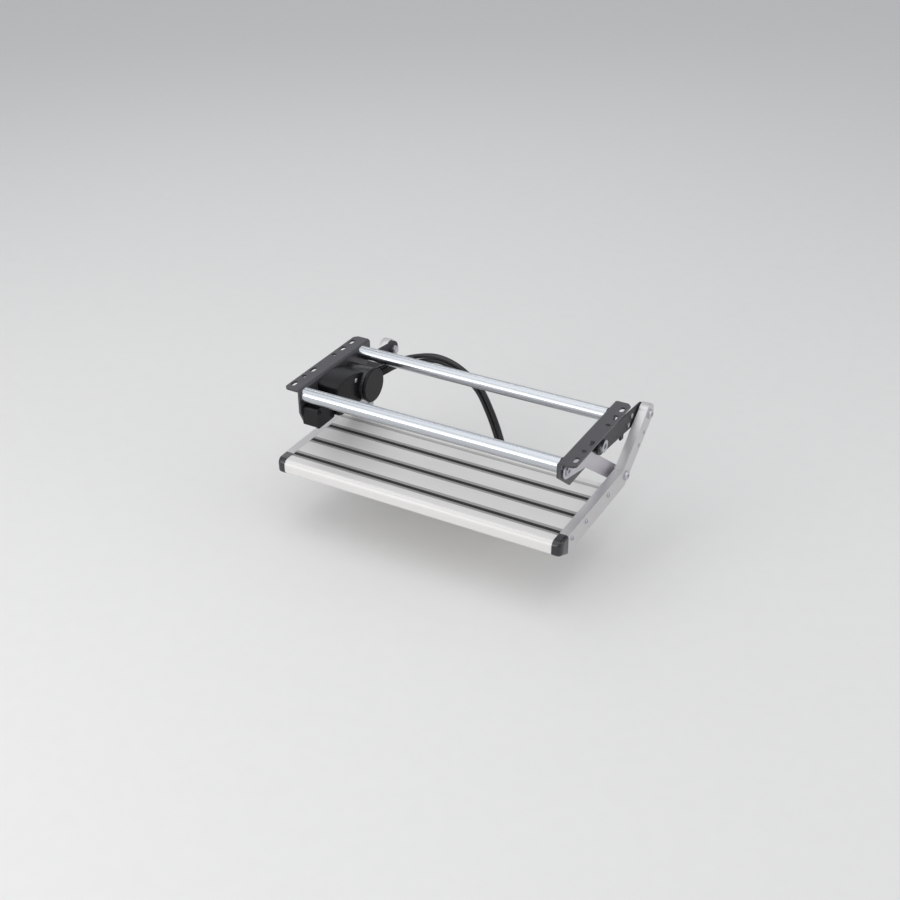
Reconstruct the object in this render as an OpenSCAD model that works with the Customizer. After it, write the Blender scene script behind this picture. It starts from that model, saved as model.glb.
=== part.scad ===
// Electric swing-out entrance step for a caravan or camper, drawn folded in.
// Origin: centre of the four round flange holes, in the plane of the mounting faces.
// +X runs along the tread, +Y points back under the vehicle, +Z points up to its floor.

/* [Tread] */
// Length of the tread extrusion between the side arms
tread_len = 550; // [450:1:650]
// Depth of the tread from its nose to its rear edge
tread_depth = 210; // [190:1:240]
// Thickness of the tread extrusion
tread_t = 27.5; // [25:0.5:32]
// Height of the mounting faces above the tread when folded in
tread_drop = 131; // [124:1:150]
// Distance from the mounting pattern's centre forward to the nose
nose_reach = 147; // [135:1:165]
// Radius of the nose's upper edge
nose_top_r = 10; // [8:0.5:12]
// Radius of the nose's lower edge
nose_low_r = 6; // [4:0.5:8]
// Thickness of the tread's walls and ribs
skin_t = 2.5; // [2:0.1:3.5]
// Thickness of the tread's top wall
top_t = 4.4; // [4:0.1:5.5]
// Distance from the nose to the first grip groove
groove_first = 34.5; // [32:0.5:40]
// Distance between grip grooves
groove_pitch = 58.6; // [50:0.1:64]
// Width of a grip groove at the top
groove_w = 22; // [18:0.5:22]
// Depth of a grip groove
groove_depth = 1; // [0.8:0.1:1.6]
// Width of the grip strip in a groove
strip_w = 6; // [4:0.5:9]
// Height of the grip strip
strip_h = 1.2; // [1:0.1:2]

/* [Side arms] */
// Width of a side arm along the tread
arm_t = 17; // [14:0.5:22]
// Height of a side arm beyond the tread's thickness
arm_extra = 10.5; // [8:0.5:13]
// Length of the black corner cap at the nose
cap_len = 30; // [26:1:36]
// How far the corner cap stands proud of the arm
cap_proud = 0.8; // [0:0.1:2]
// Distance from the tread's rear edge back to the arm's bend
bend_back = 62; // [54:1:70]
// Slope of the arm behind its bend
arm_rise = 36; // [32:0.5:40]
// Distance from the bend up to the upper pivot
arm_reach = 138; // [130:1:146]
// Distance from the bend back to the lower pivot
lower_pivot_back = 9; // [5:0.5:12]
// Height of the lower pivot above the arm's axis
lower_pivot_up = 2; // [0:0.5:5]
// Thickness of the arm's outer wall over its pocket
arm_wall = 4; // [3:0.5:6]

/* [Linkage] */
// Front link's pivot on the bracket, from the pattern's centre
front_pivot_y = -75.5; // [-80:0.5:-70]
// Depth of the front link's pivot below the mounting faces
front_pivot_down = 30.3; // [26:0.1:34]
// Rear link's pivot on the bracket, from the pattern's centre
rear_pivot_y = 59; // [54:0.5:64]
// Depth of the rear link's pivot below the mounting faces
rear_pivot_down = 50; // [46:0.5:54]
// Half width of the front link
front_link_r = 15; // [13:0.5:17]
// Thickness of the front link
front_link_t = 3.5; // [3:0.5:5]
// Length of the front link's rear leg, from the lower pivot to the elbow
elbow_leg = 159; // [150:1:168]
// Clearance of that leg from the collar on the main pivot
leg_clear = 4; // [2:0.5:8]
// Half width of the rear link
rear_link_r = 18; // [15:0.5:20]
// Thickness of the rear link
rear_link_t = 4; // [3:0.5:6]
// Radius of the main pivots, where the rear links turn on the brackets
main_pin_r = 8; // [6:0.5:9]
// Radius of the other pivots
pin_r = 6; // [5:0.5:7]
// Wall of the pivot bushes
bush_wall = 2.5; // [2:0.1:3]

/* [Brackets] */
// Thickness of the bracket steel
bracket_t = 4; // [3:0.5:5]
// Width of a bracket's mounting flange
flange_w = 34; // [32:1:40]
// Distance from the pattern's centre forward to the bracket's front
bracket_front = 104; // [100:1:112]
// Distance from the pattern's centre back to the bracket's rear
bracket_back = 138; // [130:1:146]
// Depth of the right bracket's web
right_web_h = 71; // [68:1:80]
// Depth of the left bracket's web, which carries the drive
left_web_h = 77; // [72:1:86]
// Distance from the web's inner face out to the row of holes
hole_inset = 25.2; // [22:0.1:27]
// Distance between the round holes along a flange
hole_pitch = 100; // [90:1:110]
// Radius of the mounting holes
hole_r = 4.5; // [3.5:0.5:5.5]
// Overall length of a slotted hole
slot_len = 18; // [14:1:20]

/* [Crossbars] */
// Radius of the front crossbar
front_bar_r = 14; // [12:0.5:15]
// Front crossbar's centre, from the pattern's centre
front_bar_y = -86; // [-90:0.5:-84]
// Depth of the front crossbar's centre below the mounting faces
front_bar_down = 15.5; // [15:0.5:20]
// Radius of the rear crossbar
rear_bar_r = 13; // [11:0.5:14]
// Rear crossbar's centre, from the pattern's centre
rear_bar_y = 107; // [100:0.5:110]
// Depth of the rear crossbar's centre below the mounting faces
rear_bar_down = 14.5; // [14:0.5:18]
// Wall of the crossbars
bar_wall = 2.5; // [2:0.1:3.5]
// Radius of the screws that hold the crossbars
bar_screw_r = 4; // [3:0.5:5]

/* [Drive] */
// Radius of the motor housing
motor_r = 33; // [28:0.5:33]
// Length of the motor housing from the web
motor_len = 51; // [45:1:60]
// Thickness of the motor's end cap
motor_cap_t = 7; // [5:0.5:10]
// How far the end cap's rim stands out from the housing
motor_cap_lip = 1.5; // [0.5:0.1:1.6]
// Radius of the round gear cover
gear_cover_r = 49.5; // [45:0.5:50]
// Depth of the gear cover from the web
gear_cover_h = 34; // [28:1:40]
// Distance from the rear link's pivot forward to the gear cover's centre
gear_cover_fwd = 51; // [48:1:56]
// Depth of the gear cover's centre below the rear link's pivot
gear_cover_down = 4.5; // [0:0.5:8]
// Depth of the output shaft's bearing in the motor housing
shaft_seat = 28; // [20:1:40]
// Length of the control box along the bracket
box_len = 53; // [45:1:56]
// Height of the control box
box_h = 39; // [30:1:42]
// Width of the control box from the web
box_w = 29; // [24:1:36]
// Thickness of the control box's lid
lid_t = 5; // [3:0.5:7]

/* [Leads] */
// Diameter of the two sheathed leads
lead_d = 9.5; // [8:0.1:9.6]
// Number of loops in each tied hank
hank_loops = 2; // [1:1:3]
// Length of a hank's straight runs
hank_run = 150; // [140:2:190]

/* [Fits] */
// Radial clearance of a turning fit
run_fit = 0.05; // [0.01:0.01:0.1]
// Radial clearance of a fixed fit
seat_fit = 0.03; // [0.01:0.01:0.1]
// Side clearance between moving plates
side_gap = 0.6; // [0.4:0.1:1]
// End clearance at bushes, collars and nuts
end_gap = 0.15; // [0.1:0.05:0.3]

/* [Hidden] */
$fn = 64;
eps = 0.01;

// Finishes
steel_black = "#3a393d";
link_dark = "#5c5c62";
zinc = "#c4c6c8";
link_pale = "#b5b2b8";
aluminium = "#d8dadb";
tread_grey = "#cfcdcb";
arm_grey = "#c6c2c6";
plastic_black = "#2a2a2e";
rubber_black = "#1d1d1f";

// Places along X, from the arm's inner face in to the bracket's web
bush_flange_t = 2.5;
arm_x = tread_len / 2;
arm_out = arm_x + arm_t;
rear_x1 = arm_x - bush_flange_t;
rear_x0 = rear_x1 - rear_link_t;
front_x1 = rear_x0 - side_gap;
front_x0 = front_x1 - front_link_t;
web_x1 = front_x0 - side_gap;
web_x0 = web_x1 - bracket_t;

// Places in the side view, as [y, z]
nose_y = -nose_reach;
tread_top = -tread_drop;
rear_edge_y = nose_y + tread_depth;
arm_h = tread_t + arm_extra;
arm_r = arm_h / 2;
arm_front_y = nose_y + cap_len;
bend = [rear_edge_y + bend_back, tread_top - arm_r];
upper_pivot = bend + arm_reach * [cos(arm_rise), sin(arm_rise)];
lower_pivot = bend + [lower_pivot_back, lower_pivot_up];
front_pivot = [front_pivot_y, -front_pivot_down];
rear_pivot = [rear_pivot_y, -rear_pivot_down];
front_bar = [front_bar_y, -front_bar_down];
rear_bar = [rear_bar_y, -rear_bar_down];
gear_centre = rear_pivot - [gear_cover_fwd, gear_cover_down];

// Front link's elbow: its rear leg passes the main pivot's collar at the named clearance
collar_r = main_pin_r + 5;
to_main = rear_pivot - lower_pivot;
leg_angle = atan2(to_main[1], to_main[0]) + asin((collar_r + leg_clear + front_link_r) / norm(to_main));
elbow = lower_pivot + elbow_leg * [cos(leg_angle), sin(leg_angle)];

// The second position in which the four pivots hold the tread level: the folded
// position mirrored in the line through the two link vectors
rear_vec = rear_pivot - upper_pivot;
front_vec = front_pivot - lower_pivot;
vec_dir = (front_vec - rear_vec) / norm(front_vec - rear_vec);
travel = 2 * (rear_vec - (rear_vec * vec_dir) * vec_dir);
function turn(from, to) = atan2(from[0] * to[1] - from[1] * to[0], from * to);
rear_swing = -turn(-rear_vec, travel - rear_vec);
front_swing = -turn(-front_vec, travel - front_vec);

// Fasteners
screw_r = 2.5;
screw_head_r = 4.5;
screw_head_h = 2.2;
screw_clear = 0.3;
bolt_head_r = 9.5;
bolt_head_h = 5;
socket_r = 3.6;
socket_h = 2.5;
main_head_r = 12;
main_head_h = 6;
main_socket_r = 5;
nut_w = 9;
nut_h = 6.5;
main_nut_w = 12;
main_nut_h = 8;
thread_out = 1.5;
sleeve_wall = 2;
socket_share = 0.65;
stud_head_r = 9;
stud_head_h = 2.5;
main_bush_r = main_pin_r + bush_wall;
bush_r = pin_r + bush_wall;

// Tread section: screw ports and ribs, from the nose
port_down = 14;
port_r = 5.5;
port_rear = 10;
rib_mid = 156;
ports = [46, 104.5, tread_depth - port_rear];
ribs = [ports[0], ports[1], rib_mid, ports[2], tread_depth - skin_t / 2];
grooves = [for (i = [0:2]) groove_first + i * groove_pitch];
nose_wall = 10;
rear_line = 15;
rear_line_w = 10;
rear_line_depth = 1.6;
nose_line_angles = [110, 140];
nose_line_r = 1.2;
strip_clear = 0.2;
strip_short = 1;

// Leads: hand-chosen points from the gland's tip to the floor beside the hank,
// with X measured from the left web's inner face
lead_r = lead_d / 2;
function from_web(route) = [for (p = route) [p[0] - web_x0, p[1], p[2]]];
motor_route = from_web([
    [40.8, 112, -42], [50.8, 122, -36.5], [59.8, 132, -33], [69, 142, -30], [80, 149.5, -26.5],
    [92.5, 152.5, -22.5], [106, 153, -18], [122, 153, -13.3], [139, 153, -10.5], [156, 153, -10.8],
    [173, 153, -14], [190, 153, -20], [208, 153, -30], [228, 153, -45], [245, 153, -64],
    [261, 153, -94.5], [274.5, 153, -126], [285, 153, -157], [294.5, 152, -186.5], [303.8, 150, -214],
    [305.8, 149, -227], [300.2, 148, -248], [284.8, 148, -263.4], [263.8, 148, -269], [249.8, 148, -269]
]);
switch_route = from_web([
    [56.8, 112, -42], [66.8, 122, -36.5], [76, 132, -34.5], [85.5, 141.5, -33.5], [96.5, 148.5, -32],
    [108.5, 152.5, -28], [124, 153, -23.5], [139, 153, -20.8], [154, 153, -20.9], [170, 153, -24],
    [185, 153, -29], [201.5, 153, -38.2], [220.5, 153, -52], [236.5, 153, -70.2], [251.5, 153, -99],
    [264.5, 153, -129.5], [275, 153, -160.5], [283.5, 147, -188], [290.8, 138, -214], [292.8, 134, -227],
    [287.2, 129, -248], [271.8, 126.5, -263.4], [250.8, 126, -269], [237.8, 126, -269]
]);
hank_right_x = 224.8 - web_x0;
hank_pitch = lead_d + 0.5;
hank_w = 6 * lead_d;
hank_waist = 16;
hank_tail = [[22, 0], [45, 0.3], [70, 0.8], [87, 1], [99, 1]];
tie_w = 10;
tie_t = 1.5;
tie_clear = 0.25;
buckle_w = 10;
buckle_h = 3;
buckle_out = 1;
plug_len = 38;
plug_w = 20;
plug_h = 13;
plug_round = 3;

// Glands on the motor housing, ending at the first point of each route
gland_len = 44;
gland_taper = 23;
gland_r = 5.6;
gland_tip_r = lead_r + 0.25;

// Copies a right-hand piece to the left
module left() {
    mirror([1, 0, 0]) children();
}

module both_sides() {
    children();
    left() children();
}

// Stands a side-view outline up and makes it thick from x0 to x1
module along_x(x0, x1) {
    translate([x0, 0, 0]) rotate([90, 0, 90]) linear_extrude(x1 - x0) children();
}

// Round bar along X at a point of the side view
module pin_x(p, x0, x1, r) {
    translate([x0, p[0], p[1]]) rotate([0, 90, 0]) cylinder(h = x1 - x0, r = r);
}

module ring_x(p, x0, x1, r, bore) {
    difference() {
        pin_x(p, x0, x1, r);
        pin_x(p, x0 - 1, x1 + 1, bore);
    }
}

module hex_x(p, x0, x1, half_flats) {
    translate([x0, p[0], p[1]]) rotate([0, 90, 0]) cylinder(h = x1 - x0, r = half_flats / cos(30), $fn = 6);
}

// Flat bar with round ends, drawn by its two centres and end radii; the ends are a hair
// larger than the bar, so that they cross its sides
end_lap = 0.02;
function side_angle(p, q, rp, rq) = acos((rp - rq) / norm(q - p));
function rim(c, r, a) = c + r * [cos(a), sin(a)];
module bar_2d(p, q, rp, rq) {
    a = atan2(q[1] - p[1], q[0] - p[0]);
    b = side_angle(p, q, rp, rq);
    translate(p) circle(rp + end_lap);
    translate(q) circle(rq + end_lap);
    polygon([rim(p, rp, a + b), rim(p, rp, a - b), rim(q, rq, a - b), rim(q, rq, a + b)]);
}

module round_rect(w, h, r) {
    for (x = [r, w - r], y = [r, h - r]) translate([x, y]) circle(r);
    translate([r, 0]) square([w - 2 * r, h]);
    translate([0, r]) square([w, h - 2 * r]);
}

// Brackets: angle section, cut to the side outline and the flange's plan
bend_r = 6;
web_front_h = [31, 47];
web_slope = [48, 14];
rear_h = 36;
rear_slope = 55;
flange_corner = 9;
rear_corner = 7;
slots_y = [-82, -20, 80, 112];

module angle_2d() {
    difference() {
        translate([web_x0, -left_web_h - 1]) square([flange_w, left_web_h + 1]);
        translate([web_x1, -left_web_h - 2]) square([flange_w, left_web_h + 2 - bracket_t]);
        difference() {
            translate([web_x0 - 1, -bend_r]) square(bend_r + 1);
            translate([web_x0 + bend_r, -bend_r]) circle(bend_r);
            translate([web_x0 + bend_r, -2 * bend_r]) square(3 * bend_r);
        }
    }
}

module web_2d(web_h, front_h, slope) {
    polygon([
        [-bracket_front, 0], [-bracket_front, -front_h], [-bracket_front + slope, -web_h],
        [bracket_back - rear_slope, -web_h], [bracket_back, -rear_h], [bracket_back, 0]
    ]);
}

module flange_2d() {
    x1 = web_x0 + flange_w;
    difference() {
        translate([web_x0, -bracket_front]) square([flange_w, bracket_front + bracket_back]);
        translate([x1 - flange_corner, -bracket_front]) difference() {
            translate([0, -1]) square([flange_corner + 1, flange_corner + 1]);
            translate([0, flange_corner]) circle(flange_corner);
        }
        translate([x1, bracket_back]) rotate(45) square(rear_corner * sqrt(2), center = true);
    }
}

module slot_hole(y) {
    reach = slot_len / 2 - hole_r;
    translate([web_x0 + hole_inset, y, -bracket_t - 1]) {
        for (s = [-1, 1]) translate([0, s * reach, 0]) cylinder(h = bracket_t + 2, r = hole_r);
        translate([-hole_r, -reach, 0]) cube([2 * hole_r, 2 * reach, bracket_t + 2]);
    }
}

module screw_seat(p) {
    pin_x(p, web_x0 - 1, web_x1 + 1, bar_screw_r + screw_clear);
    translate([web_x1 - bar_screw_r, p[0], p[1]]) rotate([0, 90, 0])
        cylinder(h = bar_screw_r + eps, r1 = bar_screw_r + screw_clear, r2 = 2 * bar_screw_r + screw_clear);
}

module bracket(web_h, front_h, slope, main_hole_r) {
    color(steel_black) difference() {
        intersection() {
            translate([0, bracket_back, 0]) rotate([90, 0, 0])
                linear_extrude(bracket_front + bracket_back) angle_2d();
            along_x(web_x0 - 1, web_x0 + flange_w + 1) web_2d(web_h, front_h, slope);
            translate([0, 0, -web_h - 1]) linear_extrude(web_h + 2) flange_2d();
        }
        for (s = [-1, 1]) translate([web_x0 + hole_inset, s * hole_pitch / 2, -bracket_t - 1])
            cylinder(h = bracket_t + 2, r = hole_r);
        for (y = slots_y) slot_hole(y);
        screw_seat(front_bar);
        screw_seat(rear_bar);
        pin_x(front_pivot, web_x0 - 1, web_x1 + 1, pin_r + seat_fit);
        pin_x(rear_pivot, web_x0 - 1, web_x1 + 1, main_hole_r);
    }
}

module right_bracket() {
    bracket(right_web_h, web_front_h[0], web_slope[0], main_pin_r + seat_fit);
}

module left_bracket() {
    left() bracket(left_web_h, web_front_h[1], web_slope[1], main_pin_r + screw_clear);
}

// Crossbars: round extrusion with a screw core on three webs and two fine lines on top
core_wall = 2.5;
line_r = 0.8;
line_angles = [55, 100];
bar_screw_len = 30;

module crossbar(centre, r) {
    color(aluminium) translate([-web_x0, centre[0], centre[1]]) rotate([90, 0, 90])
        linear_extrude(2 * web_x0) difference() {
            union() {
                difference() {
                    circle(r);
                    circle(r - bar_wall);
                }
                circle(bar_screw_r + core_wall);
                for (a = [90, 210, 330]) rotate(a)
                    translate([0, -core_wall / 2]) square([r - bar_wall / 2, core_wall]);
            }
            circle(bar_screw_r + seat_fit);
            for (a = line_angles) rotate(a) translate([r, 0]) circle(line_r);
        }
}

module front_crossbar() {
    crossbar(front_bar, front_bar_r);
}

module rear_crossbar() {
    crossbar(rear_bar, rear_bar_r);
}

module bar_screw(p) {
    difference() {
        union() {
            pin_x(p, web_x0 - bar_screw_len, web_x1 - bar_screw_r + eps, bar_screw_r);
            translate([web_x1 - bar_screw_r, p[0], p[1]]) rotate([0, 90, 0])
                cylinder(h = bar_screw_r, r1 = bar_screw_r, r2 = 2 * bar_screw_r);
        }
        hex_x(p, web_x1 - socket_h, web_x1 + 1, bar_screw_r * socket_share);
    }
}

module crossbar_screws() {
    color(zinc) both_sides() {
        bar_screw(front_bar);
        bar_screw(rear_bar);
    }
}

// Drive on the left web: round motor housing on the main pivot, with a gear cover before it
cap_round = 3;
cover_round = 15;
cover_draft = 3;
cover_screw_ring = 27;
cover_screw_angles = [55, 175, 285];

module gland_places() {
    for (route = [motor_route, switch_route]) {
        d = (route[1] - route[0]) / norm(route[1] - route[0]);
        translate(route[0] - gland_len * d)
            rotate([0, acos(d[2]), atan2(d[1], d[0])]) children();
    }
}

module motor_housing() {
    color(plastic_black) difference() {
        left() pin_x(rear_pivot, web_x0 - motor_len, web_x0, motor_r);
        left() pin_x(rear_pivot, web_x0 - shaft_seat, web_x0 + 1, main_pin_r + run_fit);
        gland_places() cylinder(h = gland_len, r = gland_r + seat_fit);
    }
}

module motor_end_cap() {
    r = motor_r + motor_cap_lip;
    color(plastic_black) left() translate([web_x0 - motor_len, rear_pivot[0], rear_pivot[1]])
        rotate([0, -90, 0]) rotate_extrude() {
            square([r - cap_round, motor_cap_t]);
            square([r, motor_cap_t - cap_round]);
            intersection() {
                translate([r - cap_round, motor_cap_t - cap_round]) circle(cap_round);
                square([r, motor_cap_t]);
            }
        }
}

function cover_screw_at(a) = gear_centre + cover_screw_ring * [cos(a), sin(a)];

module gear_cover() {
    inner_r = gear_cover_r - cover_draft - cover_round;
    straight = gear_cover_h - cover_round;
    color(plastic_black) left() difference() {
        translate([web_x0, gear_centre[0], gear_centre[1]]) rotate([0, -90, 0]) rotate_extrude() {
            square([inner_r, gear_cover_h]);
            polygon([[0, 0], [gear_cover_r, 0], [gear_cover_r - cover_draft, straight], [0, straight]]);
            intersection() {
                translate([inner_r, straight]) circle(cover_round);
                square([gear_cover_r, gear_cover_h]);
            }
        }
        pin_x(rear_pivot, web_x0 - motor_len - 1, web_x0 + 1, motor_r + motor_cap_lip + screw_clear);
        for (a = cover_screw_angles)
            pin_x(cover_screw_at(a), web_x0 - gear_cover_h - 1, web_x0, screw_r + seat_fit);
    }
}

module cover_screws() {
    x = web_x0 - gear_cover_h;
    color(zinc) left() for (a = cover_screw_angles) difference() {
        union() {
            pin_x(cover_screw_at(a), x - screw_head_h, x, screw_head_r);
            pin_x(cover_screw_at(a), x - eps, web_x0 - 1, screw_r);
        }
        hex_x(cover_screw_at(a), x - screw_head_h - 1, x - screw_head_h / 2, screw_r * socket_share);
    }
}

module output_shaft() {
    color(zinc) left() difference() {
        union() {
            pin_x(rear_pivot, web_x0 - shaft_seat + 1, rear_x1 + end_gap, main_pin_r);
            pin_x(rear_pivot, web_x1 + end_gap, rear_x0, collar_r);
            pin_x(rear_pivot, rear_x1, rear_x1 + main_head_h, main_head_r);
        }
        hex_x(rear_pivot, rear_x1 + main_head_h - socket_h, rear_x1 + main_head_h + 1, main_socket_r);
    }
}

// Control box under the front crossbar
box_gap = 4.5;
box_ahead = 13;
box_front_y = front_bar_y - box_ahead;
box_top = -front_bar_down - front_bar_r - box_gap;
box_round = 4;
lid_lip = 0.8;
lid_inset = 7;

function lid_screw_at(k) = [
    box_front_y + lid_inset + k * (box_len - 2 * lid_inset),
    box_top - box_h + lid_inset + (1 - k) * (box_h - 2 * lid_inset)
];

module control_box() {
    color(plastic_black) left() difference() {
        along_x(web_x0 - box_w, web_x0) translate([box_front_y, box_top - box_h])
            round_rect(box_len, box_h, box_round);
        for (k = [0, 1]) pin_x(lid_screw_at(k), web_x0 - box_w - 1, web_x0 - box_w / 2, screw_r + seat_fit);
    }
}

module control_box_lid() {
    x = web_x0 - box_w;
    color(plastic_black) left() difference() {
        along_x(x - lid_t, x) translate([box_front_y - lid_lip, box_top - box_h - lid_lip])
            round_rect(box_len + 2 * lid_lip, box_h + 2 * lid_lip, box_round);
        for (k = [0, 1]) pin_x(lid_screw_at(k), x - lid_t - 1, x + 1, screw_r + screw_clear);
    }
}

module lid_screws() {
    x = web_x0 - box_w - lid_t;
    color(zinc) left() for (k = [0, 1]) {
        pin_x(lid_screw_at(k), x - screw_head_h, x, screw_head_r);
        pin_x(lid_screw_at(k), x - eps, web_x0 - box_w / 2 - 2, screw_r);
    }
}

module lead_glands() {
    color(rubber_black) gland_places() {
        cylinder(h = gland_len - gland_taper, r = gland_r);
        translate([0, 0, gland_len - gland_taper]) cylinder(h = gland_taper, r1 = gland_r, r2 = gland_tip_r);
    }
}

// Swept tubes: points, turning frames, rings and faces
function unit(v) = v / norm(v);
function past_end(p, i) =
    i < 0 ? 2 * p[0] - p[1] : i < len(p) ? p[i] : 2 * p[len(p) - 1] - p[len(p) - 2];
function between(a, b, c, d, t) =
    0.5 * (2 * b + (c - a) * t + (2 * a - 5 * b + 4 * c - d) * t * t + (3 * b - a - 3 * c + d) * t * t * t);
function smooth(p, n) = [
    for (i = [0:len(p) - 2], k = [0:n - 1])
        between(past_end(p, i - 1), p[i], p[i + 1], past_end(p, i + 2), k / n),
    p[len(p) - 1]
];
function heading(p, i) = unit(past_end(p, i + 1) - past_end(p, i - 1));
function square_to(v, t) = unit(v - (v * t) * t);
function frames(p) = [
    for (i = 0, v = square_to([0, 0.6, 0.8], heading(p, 0)); i < len(p);
        i = i + 1, v = i < len(p) ? square_to(v, heading(p, i)) : v) v
];
function tube_points(p, r, sides) = let (side = frames(p)) [
    for (i = [0:len(p) - 1], k = [0:sides - 1])
        p[i] + r * (cos(360 * k / sides) * side[i] + sin(360 * k / sides) * cross(heading(p, i), side[i]))
];
function tube_faces(rings, sides) = [
    for (i = [0:rings - 2], k = [0:sides - 1], half = [0, 1])
        let (a = i * sides + k, b = i * sides + (k + 1) % sides)
        half == 0 ? [a, a + sides, b] : [b, a + sides, b + sides],
    for (k = [1:sides - 2]) [0, k, k + 1],
    for (k = [1:sides - 2]) let (e = (rings - 1) * sides) [e, e + k + 1, e + k]
];
module tube(p, r, sides) {
    polyhedron(points = tube_points(p, r, sides), faces = tube_faces(len(p), sides), convexity = 10);
}

function route_len(p) = len(p) < 2 ? 0 : [for (i = 1, s = norm(p[1] - p[0]); i < len(p);
    i = i + 1, s = i < len(p) ? s + norm(p[i] - p[i - 1]) : s) s][len(p) - 2];

// A hank lies on its side: flat runs and folds, climbing one lead along each second run
run_steps = 6;
fold_steps = 6;
function run_x(k) = hank_right_x - hank_run * k / run_steps;
function waist(k) = hank_waist * (1 - cos(360 * k / run_steps)) / 2;
function hank_loop(y, z, way) = [
    for (k = [0:run_steps]) [run_x(k), y + way * waist(k), z],
    for (k = [1:fold_steps - 1]) let (a = 180 * k / fold_steps)
        [run_x(run_steps) - hank_w / 2 * sin(a), y + way * hank_w / 2 * (1 - cos(a)), z],
    for (k = [run_steps:-1:0])
        [run_x(k), y + way * (hank_w - waist(k)), z + hank_pitch * (1 - k / run_steps)]
];
function hank_turn(y, z, way) = [
    for (k = [1:fold_steps - 1]) let (a = 180 * k / fold_steps)
        [run_x(0) + hank_w / 2 * sin(a), y + way * hank_w / 2 * (1 + cos(a)), z]
];
function hank_path(start, way) = [
    start,
    for (i = [0:hank_loops - 1])
        each concat(hank_loop(start[1], start[2] + i * hank_pitch, way),
            i < hank_loops - 1 ? hank_turn(start[1], start[2] + (i + 1) * hank_pitch, way) : []),
    for (t = hank_tail)
        [hank_right_x + t[0], start[1] + way * hank_w, start[2] + hank_loops * hank_pitch * (1 - t[1])]
];
function apart(p) = min([
    for (i = [0:len(p) - 8], j = [i + 7:len(p) - 1]) norm(p[i] - p[j])
]) - lead_d;

motor_path = smooth(motor_route, 2);
switch_path = smooth(switch_route, 2);
motor_hank_path = hank_path(motor_route[len(motor_route) - 1], 1);
switch_hank_path = hank_path(switch_route[len(switch_route) - 1], -1);
lead_sides = 10;
hank_sides = 6;

module motor_lead() {
    color(rubber_black) tube(motor_path, lead_r, lead_sides);
}

module switch_lead() {
    color(rubber_black) tube(switch_path, lead_r, lead_sides);
}

module motor_lead_hank() {
    color(rubber_black) tube(motor_hank_path, lead_r, hank_sides);
}

module switch_lead_hank() {
    color(rubber_black) tube(switch_hank_path, lead_r, hank_sides);
}

// Plug in line with a hank's tail: shell, latch and grip ribs
latch_len = 14;
latch_w = 7;
latch_h = 2;
latch_back = 4;
grip_w = 2;
grip_first = 5;
grip_pitch = 4;
module plug(path) {
    end = path[len(path) - 1];
    color(plastic_black) translate(end) {
        rotate([90, 0, 90]) linear_extrude(plug_len) translate([-plug_w / 2, -plug_h / 2])
            round_rect(plug_w, plug_h, plug_round);
        translate([plug_len - latch_len - latch_back, -latch_w / 2, plug_h / 2 - eps])
            cube([latch_len, latch_w, latch_h]);
        for (k = [0:2], s = [-1, 1])
            translate([grip_first + grip_pitch * k, s * plug_w / 2 - grip_w / 4, -plug_h / 4])
            cube([grip_w, grip_w / 2, plug_h / 2]);
    }
}

module motor_plug() {
    plug(motor_hank_path);
}

module switch_plug() {
    plug(switch_hank_path);
}

// Strap round the waist of a hank, with its buckle on top
module tie(start, way) {
    wide = hank_w - 2 * hank_waist + lead_d + 2 * tie_clear;
    high = (hank_loops - 0.5) * hank_pitch + lead_d + 2 * tie_clear;
    y0 = start[1] + way * hank_w / 2 - wide / 2;
    z0 = start[2] - lead_r - tie_clear;
    x0 = run_x(run_steps / 2) - tie_w / 2;
    along_x(x0, x0 + tie_w) translate([y0, z0]) difference() {
        translate([-tie_t, -tie_t]) round_rect(wide + 2 * tie_t, high + 2 * tie_t, lead_r);
        round_rect(wide, high, lead_r - tie_t);
    }
    translate([x0 - buckle_out, y0 + (wide - buckle_w) / 2, z0 + high + tie_t - eps])
        cube([tie_w + 2 * buckle_out, buckle_w, buckle_h]);
}

module hank_ties() {
    color(rubber_black) {
        tie(motor_route[len(motor_route) - 1], 1);
        tie(switch_route[len(switch_route) - 1], -1);
    }
}

// Pivots on the brackets
module front_pivot_studs() {
    color(zinc) both_sides() difference() {
        union() {
            pin_x(front_pivot, web_x0, front_x1 + end_gap + eps, pin_r);
            pin_x(front_pivot, front_x1 + end_gap, front_x1 + end_gap + stud_head_h, stud_head_r);
        }
        hex_x(front_pivot, front_x1 + stud_head_h / 2, front_x1 + stud_head_h + 1, socket_r);
    }
}

module right_pivot_bolt() {
    head_x = rear_x1 + end_gap;
    color(zinc) difference() {
        union() {
            pin_x(rear_pivot, web_x0 - main_nut_h - thread_out, head_x + eps, main_pin_r);
            pin_x(rear_pivot, head_x, head_x + main_head_h, main_head_r);
        }
        hex_x(rear_pivot, head_x + main_head_h - socket_h, head_x + main_head_h + 1, main_socket_r);
    }
}

module right_pivot_nut() {
    color(zinc) difference() {
        hex_x(rear_pivot, web_x0 - main_nut_h, web_x0, main_nut_w);
        pin_x(rear_pivot, web_x0 - main_nut_h - 1, web_x0 + 1, main_pin_r + seat_fit);
    }
}

module right_pivot_spacer() {
    color(zinc) ring_x(rear_pivot, web_x1, rear_x0 - end_gap, collar_r, main_pin_r + seat_fit);
}

module right_pivot_bush() {
    color(plastic_black) ring_x(rear_pivot, rear_x0, rear_x1, main_bush_r, main_pin_r + run_fit);
}

// Rear links: dark flat bars with a folded stop tab under the rear half
tab_along = 92;
tab_w = 12;
tab_h = 9;
tab_root = 6;
link_screw_places = [[134, 8], [121, -6]];
rear_dir = -rear_vec / norm(rear_vec);
function on_rear_link(p) = rear_pivot + p[0] * rear_dir + p[1] * [-rear_dir[1], rear_dir[0]];

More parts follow.
